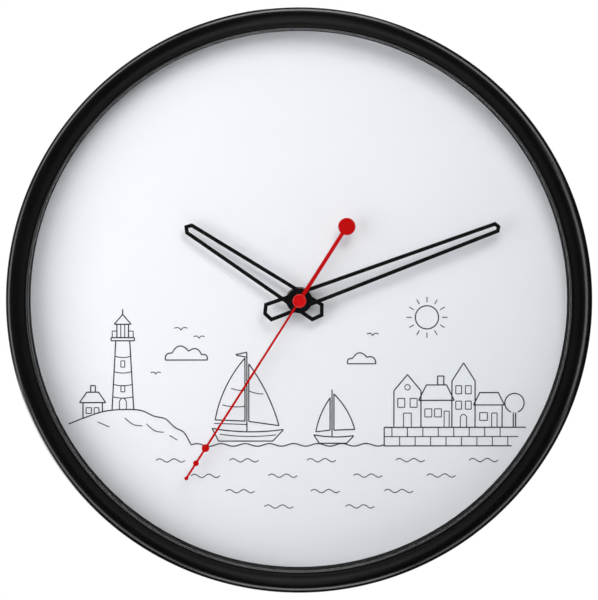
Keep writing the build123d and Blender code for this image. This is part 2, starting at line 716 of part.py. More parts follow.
with BuildPart() as coil_winding:
    with BuildSketch(coil_plane.offset(COIL_FLANGE_THICKNESS)):
        with Locations(coil_centre):
            Circle(COIL_RADIUS)
            Rectangle(*barrel, mode=Mode.SUBTRACT)
    extrude(amount=COIL_LENGTH - 2 * COIL_FLANGE_THICKNESS)
write(coil_winding, "coil_winding")

with BuildPart() as stator:
    leg_left = leg_middle_x - LEG_WIDTH / 2
    leg_right = leg_middle_x + LEG_WIDTH / 2
    rod(rotor_place, stator_ring, stator_rear, stator_front)
    block(leg_left, leg_right, rotor_place[1], arm_high, stator_rear, stator_front)
    block(leg_left, core_right, arm_high - ARM_WIDTH, arm_high, stator_rear, stator_front)
    block(leg_left, leg_right, arm_low, rotor_place[1], stator_rear, stator_front)
    block(leg_left, core_right, arm_low, arm_low + ARM_WIDTH, stator_rear, stator_front)
    rod(rotor_place, stator_hole, stator_rear, stator_front, Mode.SUBTRACT)
write(stator, "stator")

# Battery contacts: a pad at the cell's end, a strip up the side wall and a tab soldered to the board
tab_high = board_top - TAB_DROP
tab_low = tab_high - STRIP_WIDTH
battery_height = case_inner - BAY_CLEARANCE - battery_radius
bump_face = BATTERY_LENGTH / 2 + CONTACT_GAP
bump_half = CONTACT_HEIGHT / 2


def contact(side, board_edge):
    """The fixed parts of one contact: wall plate, strip and tab."""
    left, right = sorted((side * (chamber_half - CONTACT_THICKNESS), side * chamber_half))
    plate_low = battery_z - CONTACT_WIDTH / 2
    plate_high = battery_z + CONTACT_WIDTH / 2
    block(left, right, plate_low, plate_high, battery_height - bump_half, strip_high)
    block(left, right, battery_z, tab_high, strip_low, strip_high)
    left, right = sorted((side * chamber_half, board_edge - side * TAB_LAP))
    block(left, right, tab_low, tab_high, board_front, board_front + CONTACT_THICKNESS)


with BuildPart() as positive_contact:
    contact(1, board_right)
    block(
        bump_face,
        chamber_half,
        battery_z - NUB_RADIUS,
        battery_z + NUB_RADIUS,
        battery_height - NUB_RADIUS,
        battery_height + NUB_RADIUS,
    )
write(positive_contact, "positive_contact")

with BuildPart() as negative_contact:
    contact(-1, board_left)
    with BuildSketch(Plane.XY.offset(battery_z - CONTACT_WIDTH / 2)):
        with BuildLine():
            wall_face = CONTACT_THICKNESS - chamber_half
            near_end = (wall_face, bump_half - battery_height)
            far_end = (wall_face, -bump_half - battery_height)
            ThreePointArc(near_end, (-bump_face, -battery_height), far_end)
            Line(far_end, near_end)
        make_face()
        with BuildLine():
            inner_half = bump_half - CONTACT_THICKNESS
            near_end = (wall_face, inner_half - battery_height)
            far_end = (wall_face, -inner_half - battery_height)
            ThreePointArc(near_end, (-bump_face - CONTACT_THICKNESS, -battery_height), far_end)
            Line(far_end, near_end)
        make_face(mode=Mode.SUBTRACT)
    extrude(amount=CONTACT_WIDTH)
write(negative_contact, "negative_contact")

# Rotor with its pinion, and the ring magnet on it
magnet_rear = intermediate_level + GEAR_WIDTH + MAGNET_GAP
magnet_front = bridge_rear - MAGNET_GAP
pivot_rear = cover_inner - PIVOT_DEPTH / 2
with BuildPart() as rotor:
    rod(rotor_place, ARBOR_RADIUS, pivot_rear, bridge_front)
    pinion(
        rotor_place,
        intermediate_place,
        ROTOR_TEETH,
        TRAIN_MODULE,
        intermediate_level,
        intermediate_level + GEAR_WIDTH,
    )
write(rotor, "rotor")

with BuildPart() as rotor_magnet:
    rod(rotor_place, MAGNET_RADIUS, magnet_rear, magnet_front)
    rod(rotor_place, ARBOR_RADIUS + PRESS_FIT, magnet_rear, magnet_front, Mode.SUBTRACT)
write(rotor_magnet, "rotor_magnet")

# Intermediate wheel and pinion
with BuildPart() as intermediate_wheel:
    rod(intermediate_place, ARBOR_RADIUS, pivot_rear, bridge_front)
    rod(intermediate_place, HUB_RADIUS, seconds_level, intermediate_level + GEAR_WIDTH)
    wheel(
        intermediate_place,
        rotor_place,
        INTERMEDIATE_TEETH,
        TRAIN_MODULE,
        intermediate_level,
        intermediate_level + GEAR_WIDTH,
    )
    pinion(
        intermediate_place,
        CENTRE,
        INTERMEDIATE_PINION_TEETH,
        TRAIN_MODULE,
        seconds_level,
        seconds_level + GEAR_WIDTH,
    )
write(intermediate_wheel, "intermediate_wheel")

# Seconds wheel and pinion on the long steel arbor that carries the second hand
with BuildPart() as seconds_wheel:
    wheel(
        CENTRE,
        intermediate_place,
        SECONDS_TEETH,
        TRAIN_MODULE,
        seconds_level,
        seconds_level + GEAR_WIDTH,
    )
    rod(CENTRE, HUB_RADIUS, seconds_level, third_level)
    pinion(
        CENTRE,
        third_place,
        SECONDS_PINION_TEETH,
        TRAIN_MODULE,
        third_level,
        third_level + GEAR_WIDTH,
    )
    rod(CENTRE, ARBOR_RADIUS + PRESS_FIT, seconds_level, third_level + GEAR_WIDTH, Mode.SUBTRACT)
write(seconds_wheel, "seconds_wheel")

with BuildPart() as seconds_arbor:
    rod(CENTRE, ARBOR_RADIUS, pivot_rear, second_high)
write(seconds_arbor, "seconds_arbor")

# Third wheel, with its pinion in front of the bridge
with BuildPart() as third_wheel:
    rod(third_place, ARBOR_RADIUS, pivot_rear, case_inner + PIVOT_DEPTH / 2)
    wheel(
        third_place,
        CENTRE,
        THIRD_TEETH,
        TRAIN_MODULE,
        third_level,
        third_level + GEAR_WIDTH,
    )
    pinion(
        third_place,
        CENTRE,
        THIRD_PINION_TEETH,
        centre_module,
        centre_level,
        centre_level + GEAR_WIDTH,
    )
write(third_wheel, "third_wheel")

# Minute pipe with the cannon pinion, and the centre wheel that grips it
pipe_rear = bridge_front + LEVEL_GAP / 2
with BuildPart() as minute_pipe:
    rod(CENTRE, MINUTE_TUBE_RADIUS, pipe_rear, minute_high)
    pinion(
        CENTRE,
        minute_wheel_place,
        CANNON_TEETH,
        cannon_module,
        cannon_level,
        cannon_level + GEAR_WIDTH,
    )
    rod(CENTRE, minute_bore, pipe_rear, minute_high, Mode.SUBTRACT)
write(minute_pipe, "minute_pipe")

with BuildPart() as centre_wheel:
    wheel(CENTRE, third_place, CENTRE_TEETH, centre_module, centre_level, centre_level + GEAR_WIDTH)
    rod(CENTRE, MINUTE_TUBE_RADIUS + PRESS_FIT, centre_level, centre_level + GEAR_WIDTH, Mode.SUBTRACT)
write(centre_wheel, "centre_wheel")

# Minute wheel and pinion on the setting stem, with the fluted knob behind the cover
knob_front = cover_rear - KNOB_GAP
knob_rear = knob_front - KNOB_HEIGHT
with BuildPart() as minute_wheel:
    rod(minute_wheel_place, STEM_RADIUS, knob_rear, hour_level + GEAR_WIDTH)
    rod(minute_wheel_place, ARBOR_RADIUS, hour_level, case_inner + PIVOT_DEPTH / 2)
    wheel(
        minute_wheel_place,
        CENTRE,
        MINUTE_WHEEL_TEETH,
        cannon_module,
        cannon_level,
        cannon_level + GEAR_WIDTH,
    )
    pinion(
        minute_wheel_place,
        CENTRE,
        MINUTE_PINION_TEETH,
        hour_module,
        hour_level,
        hour_level + GEAR_WIDTH,
    )
write(minute_wheel, "minute_wheel")

with BuildPart() as setting_knob:
    with BuildSketch(face_plane(knob_rear)):
        with Locations(minute_wheel_place):
            Circle(KNOB_RADIUS)
            Circle(STEM_RADIUS + PRESS_FIT, mode=Mode.SUBTRACT)
            with PolarLocations(KNOB_RADIUS, KNOB_FLUTES):
                Circle(KNOB_FLUTE_RADIUS, mode=Mode.SUBTRACT)
    extrude(amount=KNOB_HEIGHT)
write(setting_knob, "setting_knob")

# Hour wheel on its tube
with BuildPart() as hour_wheel:
    rod(CENTRE, HOUR_TUBE_RADIUS, hour_level, hour_high)
    wheel(CENTRE, minute_wheel_place, HOUR_TEETH, hour_module, hour_level, hour_level + GEAR_WIDTH)
    rod(CENTRE, hour_bore, hour_level, hour_high, Mode.SUBTRACT)
write(hour_wheel, "hour_wheel")


# Hands: flat skeleton frames with pointed ends and a solid hub, each riveted on a collet
def hand_plane(height, clock_angle):
    """A plane at this height that faces the room and whose own Y points along a hand."""
    turn = math.radians(clock_angle)
    across = (math.cos(turn), 0, -math.sin(turn))
    return Plane(origin=(0, -height, 0), x_dir=across, z_dir=(0, -1, 0))


def skeleton_hand(height, angle, reach, tip_point, tip_half, tail, tail_point, tail_half, hole):
    """A frame of one bar width round a long hexagon, with a hub disc and its hole."""
    outline = [
        (0, reach),
        (-tip_half, reach - tip_point),
        (-tail_half, -tail),
        (0, -tail - tail_point),
        (tail_half, -tail),
        (tip_half, reach - tip_point),
    ]
    with BuildSketch(hand_plane(height, angle)) as plate:
        Polygon(*outline)
        offset(amount=-HAND_BAR, kind=Kind.INTERSECTION, mode=Mode.SUBTRACT)
        Circle(HAND_HUB_RADIUS)
        Circle(hole, mode=Mode.SUBTRACT)
    extrude(plate.sketch, amount=HAND_THICKNESS)


def collet(bore, low, plate_low, plate_high):
    """A flanged bush under a hand's plate, with a neck through the plate."""
    neck = bore + COLLET_WALL
    rod(CENTRE, neck + COLLET_SHOULDER, low, plate_low)
    rod(CENTRE, neck, plate_low, plate_high)
    rod(CENTRE, bore, low, plate_high, Mode.SUBTRACT)


dial_reach = lip_radius
minute_reach = dial_reach - MINUTE_EDGE_GAP
hour_reach = minute_reach - HOUR_SHORTER
second_reach = dial_reach - SECOND_EDGE_GAP
hour_seat = HOUR_TUBE_RADIUS + PRESS_FIT
minute_seat = MINUTE_TUBE_RADIUS + PRESS_FIT

with BuildPart() as hour_hand:
    skeleton_hand(
        hour_low,
        HOUR_ANGLE,
        hour_reach,
        HOUR_TIP_POINT,
        HOUR_TIP_HALF_WIDTH,
        HOUR_TAIL_LENGTH,
        HOUR_TAIL_POINT,
        HOUR_TAIL_HALF_WIDTH,
        hour_seat + COLLET_WALL + PRESS_FIT,
    )
write(hour_hand, "hour_hand")

with BuildPart() as hour_collet:
    collet(hour_seat, hour_low - HOUR_COLLET, hour_low, hour_high)
write(hour_collet, "hour_collet")

with BuildPart() as minute_hand:
    skeleton_hand(
        minute_low,
        MINUTE_ANGLE,
        minute_reach,
        MINUTE_TIP_POINT,
        MINUTE_TIP_HALF_WIDTH,
        MINUTE_TAIL_LENGTH,
        MINUTE_TAIL_POINT,
        MINUTE_TAIL_HALF_WIDTH,
        minute_seat + COLLET_WALL + PRESS_FIT,
    )
write(minute_hand, "minute_hand")

with BuildPart() as minute_collet:
    collet(minute_seat, minute_low - MINUTE_COLLET, minute_low, minute_high)
write(minute_collet, "minute_collet")

# Second hand: thin arm with three beads, and a disc on the counterweight side
socket_bore = ARBOR_RADIUS + PRESS_FIT
socket_radius = socket_bore + SOCKET_WALL
with BuildPart() as second_hand:
    with BuildSketch(hand_plane(second_low, SECOND_ANGLE)):
        arm_end = second_reach - BEAD_RADII[0]
        Circle(CAP_RADIUS)
        with Locations((0, arm_end / 2)):
            Rectangle(SECOND_ARM_WIDTH, arm_end)
        with Locations((0, -SECOND_TAIL_LENGTH / 2)):
            Rectangle(SECOND_TAIL_WIDTH, SECOND_TAIL_LENGTH)
        with Locations((0, -SECOND_TAIL_LENGTH)):
            Circle(SECOND_DISC_RADIUS)
        for index, bead_radius in enumerate(BEAD_RADII):
            with Locations((0, arm_end - index * BEAD_SPACING)):
                Circle(bead_radius)
        Circle(socket_radius + PRESS_FIT, mode=Mode.SUBTRACT)
    extrude(amount=SECOND_THICKNESS)
write(second_hand, "second_hand")

with BuildPart() as second_socket:
    tube(socket_bore, socket_radius, second_low - SECOND_SOCKET, second_high)
write(second_socket, "second_socket")

# Dished cap over the second hand's hub
with BuildPart() as second_cap:
    rod(CENTRE, CAP_RADIUS, second_high, cap_front)
    rod(CENTRE, CAP_RADIUS - CAP_RIM, cap_front - CAP_DISH, cap_front, Mode.SUBTRACT)
    front_edges = second_cap.faces().sort_by(Axis.Y)[0].edges()
    fillet(front_edges, CAP_ROUNDING)
write(second_cap, "second_cap")

# Dry cell: jacketed can and its positive nub
can_end = BATTERY_LENGTH / 2 - NUB_LENGTH
cell_plane = Plane.YZ.offset(-BATTERY_LENGTH / 2)
cell_centre = (-battery_height, battery_z)
with BuildPart() as battery_can:
    with BuildSketch(cell_plane):
        with Locations(cell_centre):
            Circle(battery_radius)
    extrude(amount=BATTERY_LENGTH - NUB_LENGTH)
    fillet(battery_can.edges().filter_by(GeomType.CIRCLE), BATTERY_ROUNDING)
write(battery_can, "battery_can")

with BuildPart() as battery_nub:
    with BuildSketch(Plane.YZ.offset(can_end)):
        with Locations(cell_centre):
            Circle(NUB_RADIUS)
    extrude(amount=NUB_LENGTH)
write(battery_nub, "battery_nub")
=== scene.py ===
import math

import bmesh
import bpy
from mathutils import Matrix, Vector


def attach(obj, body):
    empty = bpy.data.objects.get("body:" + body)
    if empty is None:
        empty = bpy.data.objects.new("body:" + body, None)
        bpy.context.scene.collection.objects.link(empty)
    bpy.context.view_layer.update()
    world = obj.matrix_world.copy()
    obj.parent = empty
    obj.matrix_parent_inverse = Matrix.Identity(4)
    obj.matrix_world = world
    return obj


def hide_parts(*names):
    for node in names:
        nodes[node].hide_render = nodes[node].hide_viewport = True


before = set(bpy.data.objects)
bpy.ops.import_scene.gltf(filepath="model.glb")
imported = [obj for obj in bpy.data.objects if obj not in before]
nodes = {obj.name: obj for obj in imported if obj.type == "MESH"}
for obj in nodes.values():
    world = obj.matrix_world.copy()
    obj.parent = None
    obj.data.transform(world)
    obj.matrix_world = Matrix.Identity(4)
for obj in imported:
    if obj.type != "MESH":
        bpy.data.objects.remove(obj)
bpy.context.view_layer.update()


# Rim: one deep ring of satin black plastic, moulded with a fine spark grain. Its rounded lip laps over
# the lens, a thin wall behind the lip seats the lens and the spacer, and six posts take the pan's screws.
MM = 0.001
RIM_RADIUS = 150.0 * MM
RIM_BORE = 147.0 * MM
RIM_DEPTH = 40.0 * MM
LIP_RADIUS = 138.2 * MM
LENS_FRONT = 37.5 * MM
SEAT_INNER = 140.9 * MM
SEAT_OUTER = 142.1 * MM
PAN_FRONT = 21.5 * MM
OUTER_ROUNDING_WIDTH = 7.0 * MM
OUTER_ROUNDING_DEPTH = 5.0 * MM
INNER_ROUNDING = 2.4 * MM
REAR_ROUNDING = 0.8 * MM
ROUNDING_STEPS = 12
RIM_SEGMENTS = 288
POST_COUNT = 6
POST_SIDES = 24
POST_RADIUS = 2.6 * MM
POST_CIRCLE = (SEAT_OUTER + RIM_BORE) / 2
POST_START = math.radians(30)
FACING_ROOM = math.radians(90)
CREASE_ANGLE = math.radians(35)
WELD = 0.0005 * MM
CLOUD_SCALE = 45.0
PALER = 1.35
GLOSS_DRIFT = 0.05


class Wire:
    """A socket in a node tree. Sums and products of wires add Math nodes to the tree."""

    def __init__(self, tree, socket=None):
        self.tree = tree
        self.socket = socket

    def node(self, kind, settings=None, inputs=None, output=0):
        """Adds a node with its settings first, then its sockets' values or links."""
        made = self.tree.nodes.new(kind)
        for name, value in (settings or {}).items():
            setattr(made, name, value)
        for key, value in (inputs or {}).items():
            if isinstance(value, Wire):
                self.tree.links.new(value.socket, made.inputs[key])
            else:
                made.inputs[key].default_value = value
        return Wire(self.tree, made.outputs[output] if made.outputs else None)

    def other(self, output):
        """Another output of the same node."""
        return Wire(self.tree, self.socket.node.outputs[output])

    def math(self, operation, *values):
        return self.node("ShaderNodeMath", {"operation": operation}, dict(enumerate(values)))

    def __add__(self, value):
        return self.math("ADD", self, value)

    __radd__ = __add__

    def __sub__(self, value):
        return self.math("SUBTRACT", self, value)

    def __rsub__(self, value):
        return self.math("SUBTRACT", value, self)

    def __mul__(self, value):
        return self.math("MULTIPLY", self, value)

    __rmul__ = __mul__

    def __lt__(self, value):
        return self.math("LESS_THAN", self, value)

    def __gt__(self, value):
        return self.math("GREATER_THAN", self, value)

    def __or__(self, value):
        return self.math("MAXIMUM", self, value)

    __ror__ = __or__

    def __abs__(self):
        return self.math("ABSOLUTE", self)

    def axes(self):
        """The three parts of a vector."""
        parts = self.node("ShaderNodeSeparateXYZ", inputs={"Vector": self})
        return tuple(parts.other(axis) for axis in "XYZ")

    def hypot(self, other):
        """The distance that two parts at right angles make."""
        return self.math("SQRT", self * self + other * other)

    def noise(self, scale, detail=2.0):
        """Soft random cloud from 0 to 1, with features of about one over scale metres."""
        return self.node("ShaderNodeTexNoise", inputs={"Vector": self, "Scale": scale, "Detail": detail})

    def blend(self, mask, first, second):
        """Mixes two colours by a mask."""
        return self.node(
            "ShaderNodeMix", {"data_type": "RGBA"}, {0: mask, 6: first, 7: second}, output=2
        )

    def rise(self, start, end, low=0.0, high=1.0):
        """A smooth step from low to high as the value goes from start to end."""
        return self.node(
            "ShaderNodeMapRange",
            {"interpolation_type": "SMOOTHSTEP"},
            {"Value": self, "From Min": start, "From Max": end, "To Min": low, "To Max": high},
        )

    def bump(self, height, depth):
        """Relief of so many metres where the height goes from 0 to 1."""
        return self.node("ShaderNodeBump", inputs={"Height": height, "Distance": depth})


def finish(name, paint):
    """A material with one Principled shader. paint gives its sockets from the piece's own coordinates."""
    made = bpy.data.materials.new(name)
    made.use_nodes = True
    tree = made.node_tree
    shader = tree.nodes["Principled BSDF"]
    place = Wire(tree).node("ShaderNodeTexCoord", output="Object")
    for socket, value in paint(place).items():
        if isinstance(value, Wire):
            tree.links.new(value.socket, shader.inputs[socket])
        else:
            shader.inputs[socket].default_value = value
    return made


def moulded(colour, roughness, grain=0.35 * MM, depth=0.012 * MM, specular=0.5):
    """Moulded plastic: a fine grain from the mould, and slow clouds in its colour and its gloss."""

    def paint(place):
        clouds = place.noise(CLOUD_SCALE, 3.0)
        pale = tuple(min(1.0, PALER * value) for value in colour[:3]) + (1.0,)
        return {
            "Base Color": place.blend(clouds, colour, pale),
            "Roughness": roughness - GLOSS_DRIFT + 2 * GLOSS_DRIFT * clouds,
            "Normal": place.bump(place.noise(1.0 / grain), depth),
            "Specular IOR Level": specular,
        }

    return paint


def geometry_tree(name, sockets):
    """An empty geometry tree with named inputs, and the wire of its group input node."""
    tree = bpy.data.node_groups.new(name, "GeometryNodeTree")
    for socket, kind in sockets.items():
        tree.interface.new_socket(socket, in_out="INPUT", socket_type=kind)
    tree.interface.new_socket("Result", in_out="OUTPUT", socket_type="NodeSocketGeometry")
    return tree, Wire(tree).node("NodeGroupInput")


def close_tree(given, shape):
    """Ends a geometry tree with plain geometry in the given finish."""
    solid = given.node("GeometryNodeRealizeInstances", inputs={"Geometry": shape})
    coated = given.node(
        "GeometryNodeSetMaterial", inputs={"Geometry": solid, "Material": given.other("Finish")}
    )
    given.node("NodeGroupOutput", inputs={"Result": coated})


def grown(name, source, tree, values):
    """Runs a geometry tree on a source mesh and keeps the result as a plain, smooth mesh."""
    piece = bpy.data.objects.new(name, source)
    bpy.context.scene.collection.objects.link(piece)
    modifier = piece.modifiers.new("grow", "NODES")
    modifier.node_group = tree
    for item in tree.interface.items_tree:
        if item.in_out == "INPUT" and item.name in values:
            modifier[item.identifier] = values[item.name]
    ready = piece.evaluated_get(bpy.context.evaluated_depsgraph_get())
    mesh = bpy.data.meshes.new_from_object(ready)
    piece.modifiers.remove(modifier)
    piece.data = mesh
    shape = bmesh.new()
    shape.from_mesh(mesh)
    bmesh.ops.dissolve_degenerate(shape, dist=WELD, edges=shape.edges)
    bmesh.ops.recalc_face_normals(shape, faces=shape.faces)
    shape.to_mesh(mesh)
    shape.free()
    mesh.shade_smooth()
    mesh.set_sharp_from_angle(angle=CREASE_ANGLE)
    return piece


def lines_mesh(name, lines, closed=False):
    """A mesh of bare edges along each line of points."""
    points, edges = [], []
    for line in lines:
        first = len(points)
        points.extend((x, y, 0.0) for x, y in line)
        edges.extend((first + i, first + i + 1) for i in range(len(line) - 1))
        if closed:
            edges.append((len(points) - 1, first))
    mesh = bpy.data.meshes.new(name)
    mesh.from_pydata(points, edges, [])
    return mesh


def arc(centre, radius, start, end, steps=ROUNDING_STEPS, depth=None):
    """Points round part of a circle, or of an ellipse with its own depth. Angles are in degrees."""
    angles = [math.radians(start + (end - start) * i / steps) for i in range(steps + 1)]
    rise = radius if depth is None else depth
    return [(centre[0] + radius * math.cos(a), centre[1] + rise * math.sin(a)) for a in angles]


outer_centre = (RIM_RADIUS - OUTER_ROUNDING_WIDTH, RIM_DEPTH - OUTER_ROUNDING_DEPTH)
rim_section = (
    [(RIM_RADIUS, REAR_ROUNDING)]
    + arc(outer_centre, OUTER_ROUNDING_WIDTH, 0, 90, depth=OUTER_ROUNDING_DEPTH)
    + arc((LIP_RADIUS + INNER_ROUNDING, RIM_DEPTH - INNER_ROUNDING), INNER_ROUNDING, 90, 180)
    + [
        (LIP_RADIUS, LENS_FRONT),
        (SEAT_INNER, LENS_FRONT),
        (SEAT_INNER, PAN_FRONT),
        (SEAT_OUTER, PAN_FRONT),
        (SEAT_OUTER, LENS_FRONT),
        (RIM_BORE, LENS_FRONT),
        (RIM_BORE, 0.0),
    ]
    + arc((RIM_RADIUS - REAR_ROUNDING, REAR_ROUNDING), REAR_ROUNDING, 270, 360)[:-1]
)

turned_ring, rim_sizes = geometry_tree(
    "turned_ring",
    {
        "Section": "NodeSocketGeometry",
        "Radius": "NodeSocketFloat",
        "Segments": "NodeSocketInt",
        "Post Count": "NodeSocketInt",
        "Post Radius": "NodeSocketFloat",
        "Post Circle": "NodeSocketFloat",
        "Post Length": "NodeSocketFloat",
        "Post Middle": "NodeSocketVector",
        "Finish": "NodeSocketMaterial",
    },
)
section = rim_sizes.node("GeometryNodeMeshToCurve", inputs={"Mesh": rim_sizes.other("Section")})
path = rim_sizes.node(
    "GeometryNodeCurvePrimitiveCircle",
    inputs={"Resolution": rim_sizes.other("Segments"), "Radius": rim_sizes.other("Radius")},
)
level_path = rim_sizes.node("GeometryNodeSetCurveNormal", {"mode": "Z_UP"}, {"Curve": path})
ring = rim_sizes.node(
    "GeometryNodeCurveToMesh", inputs={"Curve": level_path, "Profile Curve": section}
)
post = rim_sizes.node(
    "GeometryNodeMeshCylinder",
    inputs={
        "Vertices": POST_SIDES,
        "Radius": rim_sizes.other("Post Radius"),
        "Depth": rim_sizes.other("Post Length"),
    },
)
spots = rim_sizes.node(
    "GeometryNodeMeshCircle",
    inputs={"Vertices": rim_sizes.other("Post Count"), "Radius": rim_sizes.other("Post Circle")},
)
turned_spots = rim_sizes.node(
    "GeometryNodeTransform",
    inputs={
        "Geometry": spots,
        "Translation": rim_sizes.other("Post Middle"),
        "Rotation": (0.0, 0.0, POST_START),
    },
)
posts = rim_sizes.node(
    "GeometryNodeInstanceOnPoints", inputs={"Points": turned_spots, "Instance": post}
)
both = rim_sizes.node("GeometryNodeJoinGeometry", inputs={"Geometry": ring})
rim_sizes.tree.links.new(posts.socket, both.socket.node.inputs["Geometry"])
upright = rim_sizes.node(
    "GeometryNodeTransform", inputs={"Geometry": both, "Rotation": (FACING_ROOM, 0.0, 0.0)}
)
close_tree(rim_sizes, upright)

satin_black = finish("satin_black", moulded((0.0018, 0.0017, 0.0019, 1.0), 0.22, depth=0.004 * MM))
rim = grown(
    "rim_moulding",
    lines_mesh("rim_section", [[(r - LIP_RADIUS, -h) for r, h in rim_section]], closed=True),
    turned_ring,
    {
        "Radius": LIP_RADIUS,
        "Segments": RIM_SEGMENTS,
        "Post Count": POST_COUNT,
        "Post Radius": POST_RADIUS,
        "Post Circle": POST_CIRCLE,
        "Post Length": LENS_FRONT - PAN_FRONT,
        "Post Middle": (0.0, 0.0, (LENS_FRONT + PAN_FRONT) / 2),
        "Finish": satin_black,
    },
)
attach(rim, "case")
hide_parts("rim")


# Lens: a flat disc of clear float glass with ground edges, pressed against the back of the lip.
# It lets all but a twentieth of the light through and mirrors that share, with soft wipes in its gloss.
def clear_glass(place):
    wipes = place.noise(18.0, 4.0)
    return {
        "Base Color": (0.93, 0.95, 0.96, 1.0),
        "Metallic": 1.0,
        "Roughness": 0.02 + 0.05 * wipes,
        "Alpha": 0.05,
    }


def dress(node, material):
    """Gives a piece that keeps its CAD shape its finish."""
    slots = nodes[node].data.materials
    slots.clear()
    slots.append(material)


dress("lens", finish("clear_glass", clear_glass))


# Spacer: a plain black ring between the dial and the lens, moulded in the rim's own plastic.
# Its inner wall is left matt, so that it shows as a dark line round the dial and doesn't mirror it.
matt_black = finish("matt_black", moulded((0.0035, 0.0034, 0.0036, 1.0), 0.85, specular=0.08))
dress("spacer_ring", matt_black)


# Dial: a stiff white sheet, matt coated, that lies on the pan. The coating has the faint tooth of
# paper, and its white is a little cold.
def coated_paper(place):
    tooth = place.noise(3200.0, 3.0)
    clouds = place.noise(9.0, 3.0)
    return {
        "Base Color": place.blend(clouds, (0.885, 0.895, 0.925, 1.0), (0.9, 0.91, 0.935, 1.0)),
        "Roughness": 0.62 + 0.12 * tooth,
        "Normal": place.bump(tooth, 0.004 * MM),
        "Specular IOR Level": 0.3,
    }


dress("dial", finish("coated_paper", coated_paper))


# Print on the dial: a line drawing of a small harbour in dark grey ink, laid on the sheet by screen
# printing. A lighthouse stands on the left, boats sail in the middle and houses stand on a quay.
DIAL_FRONT = 22.3 * MM
INK_THICKNESS = 0.06 * MM
INK_SUNK = 0.02 * MM
OUTLINE_WIDTH = 0.66 * MM
DETAIL_WIDTH = 0.52 * MM
INK_CORNER = 0.2 * MM
INK_CORNER_STEPS = 2
TOWER_LEFT, TOWER_RIGHT = -96.6, -85.4
TOWER_FOOT, TOWER_TOP = -56.8, -21.0
TOWER_TAPER = 2.0
SUN = (66, -9)
SUN_RADIUS = 6.0
SUN_RAYS = 12
QUAY_TOP, QUAY_MIDDLE, QUAY_FOOT = -66, -70.8, -75.6
STONE_LENGTH = 8
RIPPLE_LENGTH = 15


def bow(start, end, rise, steps=8):
    """Points on a shallow arch between two ends. A positive rise bulges to the left of the way."""
    along = (end[0] - start[0], end[1] - start[1])
    length = math.hypot(*along)
    side = (-along[1] / length * rise, along[0] / length * rise)
    points = []
    for i in range(steps + 1):
        t = i / steps
        lift = 4 * t * (1 - t)
        points.append((start[0] + along[0] * t + side[0] * lift, start[1] + along[1] * t + side[1] * lift))
    return points


def chain(*runs):
    """Joins runs of points that meet end to end into one line."""
    line = list(runs[0])
    for run in runs[1:]:
        line.extend(run[1:])
    return line


def box(left, bottom, width, height):
    """A closed rectangle, drawn as one line that comes back to its start."""
    right, top = left + width, bottom + height
    return [(left, bottom), (right, bottom), (right, top), (left, top), (left, bottom)]


def flowing(points, steps=5):
    """A smooth line through the points."""
    ends = [points[0]] + list(points) + [points[-1]]
    line = [points[0]]
    for a, b, c, d in zip(ends, ends[1:], ends[2:], ends[3:]):
        for i in range(1, steps + 1):
            t = i / steps
            line.append(
                tuple(
                    0.5
                    * (
                        2 * b[k]
                        + (c[k] - a[k]) * t
                        + (2 * a[k] - 5 * b[k] + 4 * c[k] - d[k]) * t * t
                        + (3 * b[k] - a[k] - 3 * c[k] + d[k]) * t ** 3
                    )
                    for k in (0, 1)
                )
            )
    return line


def swell(start, end, level, height, length, steps=10):
    """A row of round waves at one level."""
    count = int((end - start) / length * steps)
    xs = [start + (end - start) * i / count for i in range(count + 1)]
    return [(x, level + height * math.sin(2 * math.pi * (x - start) / length)) for x in xs]


def sail(head, tack, clew, belly):
    """A sail whose free edge bellies between its clew and its head."""
    return chain([head, tack, clew], bow(clew, head, belly))


def hull(stern, stem, keel, sheer):
    """A boat's side, with a hollow rail from stern to stem and the keel below."""
    return chain(bow(stern, stem, sheer), [stem, *keel, stern])


def gable(left, right, foot, eaves, ridge):
    """The front of a house under a pointed roof."""
    return [(left, foot), (left, eaves), ((left + right) / 2, ridge), (right, eaves), (right, foot)]


def doorway(left, right, foot, head, rise=0.0):
    """A door or a chimney: two sides and a flat or a round head, open at the foot."""
    lintel = bow((left, head), (right, head), rise) if rise else [(left, head), (right, head)]
    return chain([(left, foot), (left, head)], lintel, [(right, head), (right, foot)])


